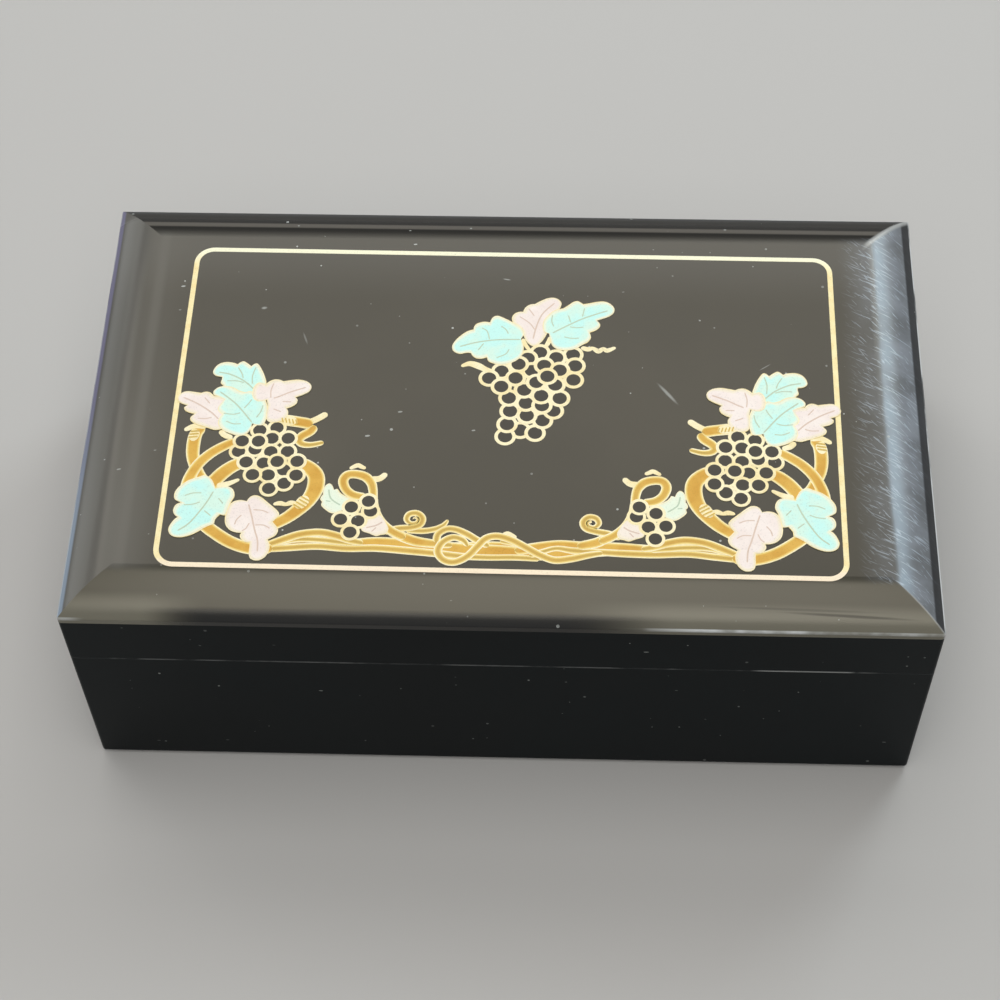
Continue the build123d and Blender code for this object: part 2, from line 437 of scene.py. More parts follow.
@dataclass(frozen=True)
class LidPlaces:
    """Readings over the lid, as sockets of one material.

    x and y are coordinates. The edges' names stand for the distance from that edge, in metres, rim for
    the least of them, and wavy_right for the right one with an uneven line. The rest run from 0 to 1.
    """

    x: Socket
    y: Socket
    front: Socket
    back: Socket
    left: Socket
    right: Socket
    rim: Socket
    wavy_right: Socket
    on_front: Socket
    on_back: Socket
    on_right: Socket
    beside_right: Socket
    between: Socket
    to_ends: Socket


@dataclass(frozen=True)
class LidLacquer(Lacquer):
    """The lid's lacquer, with painted reflections and shade by place: a paler front bevel, a scuffed right
    bevel with a painted sheen and scratch haze, painted dark outer rims.
    """

    # Painted reflection: lighter brownish grey over the front bevel, short of its rim.
    front_reflection: Color = srgb(72, 69, 58)
    # Painted reflection: paler grey over the left end and towards the back.
    pale_reflection: Color = srgb(86, 85, 81)
    # Painted reflection: a bluish line along the left rim, paler towards the front, where it is also wear.
    left_rim_reflection: Color = srgb(112, 110, 144)
    left_rim_reflection_front: Color = srgb(146, 164, 184)
    # Painted sheen: the right bevel's reflection of a window, with the haze of its scratches.
    right_sheen_and_haze: Color = srgb(136, 143, 151)
    # Painted highlight along the right bevel's crest.
    crest_highlight: Color = srgb(136, 154, 168)
    # Painted highlight on the front bevel near the rim, at both ends.
    front_highlight: Color = srgb(124, 121, 107)
    # Painted dark reflection over the back bevel.
    back_dark_reflection: Color = srgb(4, 5, 6)
    # The right bevel's hairline scratches: partly real scratches, partly a painted highlight on them.
    scratch_glint: Color = srgb(184, 198, 210)
    # Painted shade: the dark outer rims.
    rim_shade: Color = srgb(9, 16, 25)
    # Painted shade: dark lines in the front bevel's right part.
    shade_line_colour: Color = srgb(8, 9, 8)
    # The outer edge's pale line: partly worn lacquer, partly a painted highlight.
    rim_highlight_and_wear: Color = srgb(222, 226, 226)
    tint: Color = (1.0, 0.93, 0.78, 1.0)

    front_bevel: Fade = Fade(14.5 * MM, 11.6 * MM)
    back_bevel: Fade = Fade(14.5 * MM, 10.875 * MM)
    right_bevel: Fade = Fade(15.08 * MM, 13.05 * MM)
    waves: float = 3.0 * MM
    wave_scale: float = 26.0
    # Beside the right bevel, on the flat, where the painted sheen and the hairlines spread.
    near_right_bevel: Fade = Fade(25.375 * MM, 14.5 * MM)
    near_right_bevel_by_y: Fade = Fade(-20 * MM, 50 * MM, 0.55, 0.65)
    to_right_end: Fade = Fade(15 * MM, 50 * MM)
    to_left_end: Fade = Fade(-78 * MM, -98 * MM)

    # Where the painted reflections and the painted highlight lie on the left end, the front bevel and the
    # back:
    left_paler: Fade = Fade(30 * MM, 12 * MM)
    left_paler_by_y: Fade = Fade(10 * MM, -50 * MM, 0.3, 0.8)
    front_reflection_reach: Fade = Fade(2.4 * MM, 3.6 * MM)
    front_lit: Fade = Fade(7 * MM, 3 * MM)
    light_strength: float = 0.85
    # Painted reflections: pale stripes across the left bevel.
    left_reflection_stripes: tuple[Stripe, ...] = (
        Stripe(9.3 * MM, Fade(3.2 * MM, 0.3 * MM, 0.0, 0.85), srgb(94, 92, 87)),
        Stripe(16.0 * MM, Fade(2.6 * MM, 0.3 * MM, 0.0, 0.4), srgb(94, 92, 87)),
    )
    # Painted reflections towards the back: a paler band, and a pale stripe on the back bevel.
    back_paler: Fade = Fade(40 * MM, 16 * MM, 0.0, 0.5)
    back_reflection_stripe: Stripe = Stripe(9.2 * MM, Fade(1.4 * MM, 0.5 * MM, 0.0, 0.8), srgb(100, 96, 89))

    mist_scale: float = 70.0
    mist: Fade = Fade(0.3, 0.7, 0.45, 1.0)
    beside_strength: float = 0.6
    on_crest: Fade = Fade(8.7 * MM, 12.76 * MM)
    hairlines: tuple[Hairlines, ...] = (
        Hairlines(-27.0, 0.5 * MM, 8 * MM, Fade(0.6, 0.66)),
        Hairlines(-50.0, 0.5 * MM, 5 * MM, Fade(0.61, 0.67)),
    )
    hairline_strength: Fade = Fade(3 * MM, 14.5 * MM, 0.45, 0.9)

    # Painted shade on the outer rims, and the painted bluish line along the left rim:
    rim_strength: float = 0.9
    rim_on_ends: Fade = Fade(3.2 * MM, 2.2 * MM)
    rim_on_right: Fade = Fade(3.2 * MM, 2.5 * MM)
    left_line_width: Fade = Fade(2.0 * MM, 1.2 * MM, 0.0, 0.8)
    left_line_by_y: Fade = Fade(10 * MM, -50 * MM)

    scuffs: tuple[Scuff, ...] = ()
    # Lines of painted shade, drawn as long thin marks.
    shade_lines: tuple[Scuff, ...] = ()
    spot_fade: Fade = Fade(1.0, 0.3)
    # The outer edge's pale line and the lighter mitres: partly wear, partly painted highlight.
    rim_line_scale: float = 60.0
    rim_line_patches: Fade = Fade(0.36, 0.56, 0.15, 1.0)
    rim_line_right: Fade = Fade(30 * MM, 62 * MM)
    rim_line_left: Fade = Fade(-112 * MM, -118 * MM, 0.0, 0.4)
    rim_line_width: Fade = Fade(0.5 * MM, 0.3 * MM)
    rim_line_height: Fade = Fade(77.8 * MM, 78.1 * MM)
    mitre_width: Fade = Fade(0.5 * MM, 0.1 * MM)
    mitre_reach: Fade = Fade(14.5 * MM, 5.8 * MM, 0.0, 0.6)
    back_mitre_width: Fade = Fade(1.7 * MM, 0.2 * MM, 0.0, 0.9)
    back_mitre_by_y: Fade = Fade(0.0, 20 * MM)
    back_mitre_reach: Fade = Fade(15.95 * MM, 13.05 * MM)

    rougher: float = 0.1
    back_roughness: Fade = Fade(9 * MM, 4 * MM, 0.0, 0.5)
    groove_angle: float = -27.0
    groove_scale: tuple[float, float, float] = (110.0, 2600.0, 0.0)
    groove_depth: float = 0.007 * MM

    def places(self, graph: Graph) -> LidPlaces:
        """Reads the places on the lid.

        Args:
            graph: The material.

        Returns:
            The readings.
        """
        x, y = graph.axis("X"), graph.axis("Y")
        front, back = graph.math("ADD", y, self.half_depth), graph.less(self.half_depth, y)
        left, right = graph.math("ADD", x, self.half_width), graph.less(self.half_width, x)
        side = graph.least(left, right)
        on_front = graph.product(graph.math("LESS_THAN", front, side), graph.fade(front, self.front_bevel))
        on_back = graph.product(graph.math("LESS_THAN", back, side), graph.fade(back, self.back_bevel))
        between = graph.less(1.0, graph.largest(on_front, on_back))
        waves = graph.product(graph.noise(self.wave_scale, detail=3.0), self.waves)
        wavy = graph.math("ADD", right, waves)
        near_right_bevel = graph.product(graph.fade(wavy, self.near_right_bevel), graph.fade(y, self.near_right_bevel_by_y))
        return LidPlaces(
            x=x, y=y, front=front, back=back, left=left, right=right,
            rim=graph.least(front, back, side),
            wavy_right=wavy,
            on_front=on_front,
            on_back=on_back,
            on_right=graph.product(graph.fade(wavy, self.right_bevel), between),
            beside_right=graph.product(near_right_bevel, between),
            between=between,
            to_ends=graph.largest(graph.fade(x, self.to_right_end), graph.fade(x, self.to_left_end)),
        )

    def spots(self, graph: Graph, marks: tuple[Scuff, ...]) -> Value:
        """Adds up single marks.

        Args:
            graph: The material.
            marks: The marks.

        Returns:
            The marks' strength, 0 to 1.
        """
        total: Value = 0.0
        for mark in marks:
            place = Vector((mark.x, mark.y, CAD_BOX[1].z))
            spot = graph.turned(mark.angle, (2 / mark.length, 2 / mark.width, 0.0), place)
            reach = graph.node("ShaderNodeVectorMath", {0: spot}, operation="LENGTH").outputs["Value"]
            total = graph.largest(total, graph.fade(reach, replace(self.spot_fade, end=mark.strength)))
        return total

    def scratches(self, graph: Graph, kind: Hairlines) -> Socket:
        """Returns 1 on hairlines of one kind and 0 elsewhere."""
        along = graph.turned(kind.angle, (1 / kind.length, 1 / kind.spacing, 0.0))
        return graph.fade(graph.noise(1.0, vector=along), kind.rareness)

    def lay_stripe(self, graph: Graph, stripe: Stripe, edge: Socket, where: Socket) -> None:
        """Lays a stripe.

        Args:
            graph: The material.
            stripe: The stripe.
            edge: The distance from the stripe's edge.
            where: 1 where the stripe shows, and 0 elsewhere.
        """
        share = graph.fade(graph.gap(edge, stripe.distance), stripe.width)
        graph.lay(graph.product(share, where), stripe.colour)

    def lay_painted_reflections(self, graph: Graph, at: LidPlaces) -> None:
        """Lays the painted reflections of the left end, the front bevel and the back: paler bands, a painted
        highlight, stripes, and the back bevel's painted dark reflection.

        Args:
            graph: The material.
            at: The places on the lid.
        """
        paler = graph.product(graph.fade(at.left, self.left_paler), graph.fade(at.y, self.left_paler_by_y))
        graph.lay(paler, self.pale_reflection)
        front_reflected = graph.product(at.on_front, graph.fade(at.front, self.front_reflection_reach))
        graph.lay(front_reflected, self.front_reflection)
        near = graph.fade(at.front, self.front_lit)
        lit = graph.product(at.on_front, at.to_ends, near, self.light_strength)
        graph.lay(lit, self.front_highlight)
        for stripe in self.left_reflection_stripes:
            self.lay_stripe(graph, stripe, at.left, at.between)
        graph.lay(graph.fade(at.back, self.back_paler), self.pale_reflection)
        graph.lay(at.on_back, self.back_dark_reflection)
        self.lay_stripe(graph, self.back_reflection_stripe, at.back, at.on_back)

    def paint_right_sheen(self, graph: Graph, at: LidPlaces) -> None:
        """Paints the right bevel's sheen, a reflection of a window with the haze of its scratches, and lays
        the painted highlight on its crest and its hairlines.

        Args:
            graph: The material.
            at: The places on the lid.
        """
        mist = graph.fade(graph.noise(self.mist_scale, detail=4.0), self.mist)
        beside = graph.product(at.beside_right, self.beside_strength)
        graph.lay(graph.product(graph.largest(at.on_right, beside), mist), self.right_sheen_and_haze)
        crest_highlight = graph.product(at.on_right, graph.fade(at.wavy_right, self.on_crest), mist)
        graph.lay(crest_highlight, self.crest_highlight)
        lines = graph.largest(*(self.scratches(graph, kind) for kind in self.hairlines))
        strength = graph.fade(at.right, self.hairline_strength)
        marked = graph.product(strength, graph.largest(at.on_right, at.beside_right), lines)
        graph.lay(marked, self.scratch_glint)

    def lay_rims(self, graph: Graph, at: LidPlaces) -> None:
        """Paints shade on the outer rims as dark reflection, and a painted bluish reflection line along the
        left one.

        Args:
            graph: The material.
            at: The places on the lid.
        """
        lit = graph.product(at.to_ends, self.light_strength, at.on_front)
        ends = graph.product(graph.largest(at.on_front, at.on_back), graph.fade(at.rim, self.rim_on_ends))
        dark = graph.largest(ends, graph.fade(at.right, self.rim_on_right))
        graph.lay(graph.product(dark, graph.less(self.rim_strength, lit)), self.rim_shade)
        along_left = graph.product(graph.fade(at.left, self.left_line_width), at.between)
        line_colour = graph.mix(graph.fade(at.y, self.left_line_by_y), self.left_rim_reflection, self.left_rim_reflection_front)
        graph.lay(along_left, line_colour)

    def lay_marks_and_highlights(self, graph: Graph, at: LidPlaces) -> None:
        """Lays dust and single marks and the lines of painted shade, and lightens the mitres and the outer
        edge: partly wear, partly painted highlight.

        Args:
            graph: The material.
            at: The places on the lid.
        """
        marks = graph.largest(self.specks(graph), self.spots(graph, self.scuffs))
        graph.lay(marks, self.dust)
        graph.lay(self.spots(graph, self.shade_lines), self.shade_line_colour)
        # Lighter mitres: partly wear, partly a painted highlight.
        off_mitre = graph.gap(graph.least(at.front, at.back), at.right)
        mitre = graph.largest(
            graph.product(graph.fade(off_mitre, self.mitre_width), graph.fade(at.right, self.mitre_reach)),
            graph.product(
                graph.fade(off_mitre, self.back_mitre_width),
                graph.fade(at.y, self.back_mitre_by_y),
                graph.fade(at.right, self.back_mitre_reach),
            ),
        )
        graph.lay(mitre, self.wear_and_highlight)
        edge = graph.product(
            graph.fade(graph.noise(self.rim_line_scale, detail=4.0), self.rim_line_patches),
            graph.largest(graph.fade(at.x, self.rim_line_right), graph.fade(at.x, self.rim_line_left)),
            graph.fade(at.rim, self.rim_line_width),
            graph.fade(graph.axis("Z"), self.rim_line_height),
        )
        graph.lay(edge, self.rim_highlight_and_wear)

    def paint(self, graph: Graph) -> None:
        """Paints the lid's lacquer."""
        at = self.places(graph)
        graph.colour = graph.mix(self.cloud(graph), self.base, self.haze)
        for layer in (self.lay_painted_reflections, self.paint_right_sheen, self.lay_rims, self.lay_marks_and_highlights):
            layer(graph, at)
        rough = Fade(0.0, 1.0, self.roughness, self.roughness + self.rougher)
        roughness = graph.largest(graph.fade(at.on_right, rough), graph.fade(at.back, self.back_roughness))
        grooves = graph.noise(1.0, vector=graph.turned(self.groove_angle, self.groove_scale))
        normal = graph.bump(graph.product(at.on_right, grooves), self.groove_depth, self.peel(graph))
        graph.surface(Specular_IOR_Level=self.specular, Specular_Tint=self.tint)
        graph.surface(Roughness=roughness, Normal=normal)


@dataclass(frozen=True)
class PrintInk(Finish):
    """Screen-printed ink with fine grain and rubbed spots."""

    ink: Color
    shade: Color
    metallic: float = 0.0
    specular: float = 0.35
    roughness: float = 0.42
    rougher: float = 0.16
    grain_scale: float = 2600.0
    grain_height: float = 0.006 * MM
    grain_value: float = 0.82
    grains: Fade = Fade(0.55, 0.72, 0.0, 0.8)
    patch_scale: float = 160.0
    patches: Fade = Fade(0.38, 0.66)

    def tone(self, graph: Graph) -> Socket:
        """Returns the ink's colour before the grain."""
        patch = graph.fade(graph.noise(self.patch_scale, detail=3.0), self.patches)
        return graph.mix(patch, self.ink, self.shade)

    def paint(self, graph: Graph) -> None:
        """Paints the ink."""
        tone, grain = self.tone(graph), graph.noise(self.grain_scale)
        feeds = {"Color": tone, "Value": self.grain_value}
        darker = graph.node("ShaderNodeHueSaturation", feeds).outputs[0]
        graph.colour = graph.mix(graph.fade(grain, self.grains), tone, darker)
        rough = Fade(0.3, 0.7, self.roughness, self.roughness + self.rougher)
        normal = graph.bump(grain, self.grain_height)
        graph.surface(Metallic=self.metallic, Specular_IOR_Level=self.specular)
        graph.surface(Roughness=graph.fade(grain, rough), Normal=normal)


@dataclass(frozen=True)
class BorderInk(PrintInk):
    """The border line's ink, paler along the back and pinker along the front."""

    back: Color = srgb(253, 250, 218)
    front: Color = srgb(252, 234, 204)
    along_back: Fade = Fade(46.5 * MM, 52.5 * MM)
    along_front: Fade = Fade(-55.5 * MM, -57.5 * MM)

    def tone(self, graph: Graph) -> Socket:
        """Returns the colour by the place along the lid."""
        y = graph.axis("Y")
        paler = graph.mix(graph.fade(y, self.along_back), super().tone(graph), self.back)
        return graph.mix(graph.fade(y, self.along_front), paler, self.front)


@dataclass(frozen=True)
class VineInk(PrintInk):
    """Vine ink, ochre along the middle of a strand and light gold at its sides. Widths in millimetres."""

    side: Color = srgb(250, 224, 132)
    thin: Color = srgb(206, 170, 84)
    side_width: float = 0.6
    side_share: float = 0.34
    to_side: Fade = Fade(0.2, 1.0, 0.9, 0.0)
    thin_strand: Fade = Fade(2.6, 1.2)

    def tone(self, graph: Graph) -> Socket:
        """Returns the colour across the strand. The UV map holds its width in mm and the share across."""
        strand = graph.node("ShaderNodeSeparateXYZ", {0: graph.node("ShaderNodeUVMap").outputs[0]})
        width, share = strand.outputs["X"], strand.outputs["Y"]
        inside = graph.product(graph.less(0.5, graph.gap(share, 0.5)), width)
        reach = graph.least(graph.product(width, self.side_share), self.side_width)
        core = graph.mix(graph.fade(width, self.thin_strand), super().tone(graph), self.thin)
        return graph.mix(graph.fade(graph.math("DIVIDE", inside, reach), self.to_side), core, self.side)


@dataclass(frozen=True)
class LeafInk(PrintInk):
    """Leaf ink that fades to cream at the leaf's edge and darkens in its veins."""

    cream: Color = srgb(250, 250, 222)
    vein: Color = srgb(196, 214, 186)
    inner: Fade = Fade(0.0, 1.0)
    in_vein: Fade = Fade(0.0, -1.0)

    def tone(self, graph: Graph) -> Socket:
        """Returns the colour by the mesh's own tone: 0 at the edge, 1 inside and -1 in a vein."""
        tone = graph.node("ShaderNodeAttribute", attribute_name=TONE).outputs["Fac"]
        leaf = graph.mix(graph.fade(tone, self.inner), self.cream, super().tone(graph))
        return graph.mix(graph.fade(tone, self.in_vein), leaf, self.vein)


@dataclass(frozen=True)
class Velvet(Finish):
    """Short cotton velvet over a board or pad."""

    pile: Color = srgb(120, 14, 26)
    shade: Color = srgb(100, 9, 19)
    root: Color = srgb(58, 4, 10)
    roughness: float = 0.95
    specular: float = 0.1
    sheen: float = 0.6
    sheen_roughness: float = 0.35
    sheen_tint: Color = srgb(255, 190, 190)
    pile_scale: float = 2600.0
    pile_height: float = 0.2 * MM
    to_root: Fade = Fade(0.32, 0.56, 0.6, 0.0)
    brush_scale: float = 28.0
    brushed: Fade = Fade(0.3, 0.7)

    def paint(self, graph: Graph) -> None:
        """Paints the velvet."""
        fibre = graph.noise(self.pile_scale)
        brushed = graph.fade(graph.noise(self.brush_scale), self.brushed)
        graph.colour = graph.mix(brushed, self.shade, self.pile)
        graph.lay(graph.fade(fibre, self.to_root), self.root)
        graph.surface(
            Sheen_Weight=self.sheen, Sheen_Roughness=self.sheen_roughness, Sheen_Tint=self.sheen_tint,
            Specular_IOR_Level=self.specular, Roughness=self.roughness,
        )
        graph.surface(Normal=graph.bump(fibre, self.pile_height))


@dataclass(frozen=True)
class Felt(Finish):
    """Pressed wool felt."""

    fibre: Color = srgb(38, 38, 40)
    deep: Color = srgb(16, 16, 18)
    roughness: float = 0.98
    specular: float = 0.1
    sheen: float = 0.25
    fibre_scale: float = 1500.0
    fibre_height: float = 0.3 * MM
    fibres: Fade = Fade(0.35, 0.62)

    def paint(self, graph: Graph) -> None:
        """Paints the felt."""
        wool = graph.noise(self.fibre_scale, detail=6.0)
        graph.colour = graph.mix(graph.fade(wool, self.fibres), self.deep, self.fibre)
        graph.surface(Specular_IOR_Level=self.specular, Roughness=self.roughness, Sheen_Weight=self.sheen)
        graph.surface(Normal=graph.bump(wool, self.fibre_height))


@dataclass(frozen=True)
class Brass(Finish):
    """Plated brass with brushed lines and light tarnish."""

    bright: Color = srgb(226, 186, 108)
    tarnish: Color = srgb(150, 112, 58)
    roughness: float = 0.26
    rougher: float = 0.18
    stain_scale: float = 240.0
    stains: Fade = Fade(0.5, 0.72)
    brush_scale: tuple[float, float, float] = (220.0, 7000.0, 7000.0)
    brush_depth: float = 0.01 * MM

    def paint(self, graph: Graph) -> None:
        """Paints the brass."""
        stain = graph.fade(graph.noise(self.stain_scale, detail=4.0), self.stains)
        brushed = graph.noise(1.0, vector=graph.turned(0.0, self.brush_scale))
        rough = Fade(0.3, 0.7, self.roughness, self.roughness + self.rougher)
        graph.colour = graph.mix(stain, self.bright, self.tarnish)
        normal = graph.bump(brushed, self.brush_depth)
        graph.surface(Metallic=1.0, Roughness=graph.fade(brushed, rough), Normal=normal)


@dataclass(frozen=True)
class MirrorGlass(Finish):
    """Silvered glass with faint dust."""

    silver: Color = srgb(232, 236, 236)
    dust: Color = srgb(190, 190, 188)
    dust_cells: float = 300.0
    dust_radius: float = 0.06
    dust_strength: float = 0.5
    dust_roughness: float = 0.4
    film_scale: float = 30.0
    film: Fade = Fade(0.5, 0.75, 0.015, 0.07)

    def paint(self, graph: Graph) -> None:
        """Paints the mirror."""
        specks = graph.dots(self.dust_cells, self.dust_radius)
        film = graph.fade(graph.noise(self.film_scale, detail=4.0), self.film)
        graph.colour = graph.mix(graph.product(specks, self.dust_strength), self.silver, self.dust)
        rough = graph.largest(film, graph.product(specks, self.dust_roughness))
        graph.surface(Metallic=1.0, Roughness=rough)


def dress(material: bpy.types.Material, *nodes: str) -> None:
    """Gives CAD nodes a finish.

    Args:
        material: The finish.
        *nodes: The nodes' names.
    """
    for name in nodes:
        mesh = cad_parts[name].data
        mesh.materials.clear()
        mesh.materials.append(material)
        LOG.info("dressed %s in %s", name, material.name)


def scene_object(name: str, data: bpy.types.ID) -> bpy.types.Object:
    """Adds an object with that data to the scene."""
    made = bpy.data.objects.new(name, data)
    bpy.context.scene.collection.objects.link(made)
    return made


def add_piece(
    name: str, mesh: bpy.types.Mesh, material: bpy.types.Material, body: Body
) -> bpy.types.Object:
    """Adds a finished mesh to the object.

    Args:
        name: The piece's name.
        mesh: Its mesh, in place.
        material: Its finish.
        body: The body that it moves with.

    Returns:
        The piece.
    """
    mesh.materials.clear()
    mesh.materials.append(material)
    piece = scene_object(name, mesh)
    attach(piece, body.value)
    LOG.info("built %s: %d faces, on %s", name, len(mesh.polygons), body.value)
    return piece


def finished_mesh(name: str, mesh: bmesh.types.BMesh) -> bpy.types.Mesh:
    """Turns a drawn mesh, which is freed, into mesh data of that name."""
    data = bpy.data.meshes.new(name)
    mesh.to_mesh(data)
    mesh.free()
    return data


@dataclass(frozen=True)
class Strand:
    """A vine strand in the print: points with x, y and the strand's full width, in millimetres."""

    points: tuple[tuple[float, float, float], ...]
    level: int
    inked: bool = True


@dataclass(frozen=True)
class Grape:
    """A grape ring's centre in millimetres, and its level."""

    x: float
    y: float
    level: int


@dataclass(frozen=True)
class Leaf:
    """A leaf: each lobe's starting notch and the points round it, then its veins, in millimetres."""

    ink: Slot
    lobes: tuple[tuple[Point, ...], ...]
    veins: tuple[tuple[Point, ...], ...]
    level: int
    strength: float = 1.0


@dataclass(frozen=True)
class Motif:
    """A group of the print, drawn in the print's own frame."""

    name: str
    strands: tuple[Strand, ...] = ()
    grapes: tuple[Grape, ...] = ()
    leaves: tuple[Leaf, ...] = ()
    knots: tuple[tuple[Point, Point], ...] = ()
    dots: tuple[Point, ...] = ()
    first_rank: int = 0
    grape_radius: float = 2.75
    grape_line: float = 0.85

    def mirrored(self, name: str, axis: float) -> "Motif":
        """Mirrors the group left to right.

        Args:
            name: The mirrored group's name.
            axis: The x of the mirror line, in millimetres.

        Returns:
            The mirrored group.
        """

        def flip(point: tuple) -> tuple:
            """Mirrors one point, and keeps what follows its x."""
            return (2 * axis - point[0], *point[1:])

        strands = tuple(replace(s, points=tuple(flip(p) for p in s.points)) for s in self.strands)
        grapes = tuple(replace(g, x=2 * axis - g.x) for g in self.grapes)
        leaves = tuple(
            replace(
                leaf,
                lobes=tuple(tuple(flip(p) for p in lobe) for lobe in leaf.lobes),
                veins=tuple(tuple(flip(p) for p in vein) for vein in leaf.veins),
            )
            for leaf in self.leaves
        )
        knots = tuple((flip(start), flip(end)) for start, end in self.knots)
        dots = tuple(flip(dot) for dot in self.dots)
        return replace(self, name=name, strands=strands, grapes=grapes, leaves=leaves, knots=knots, dots=dots)


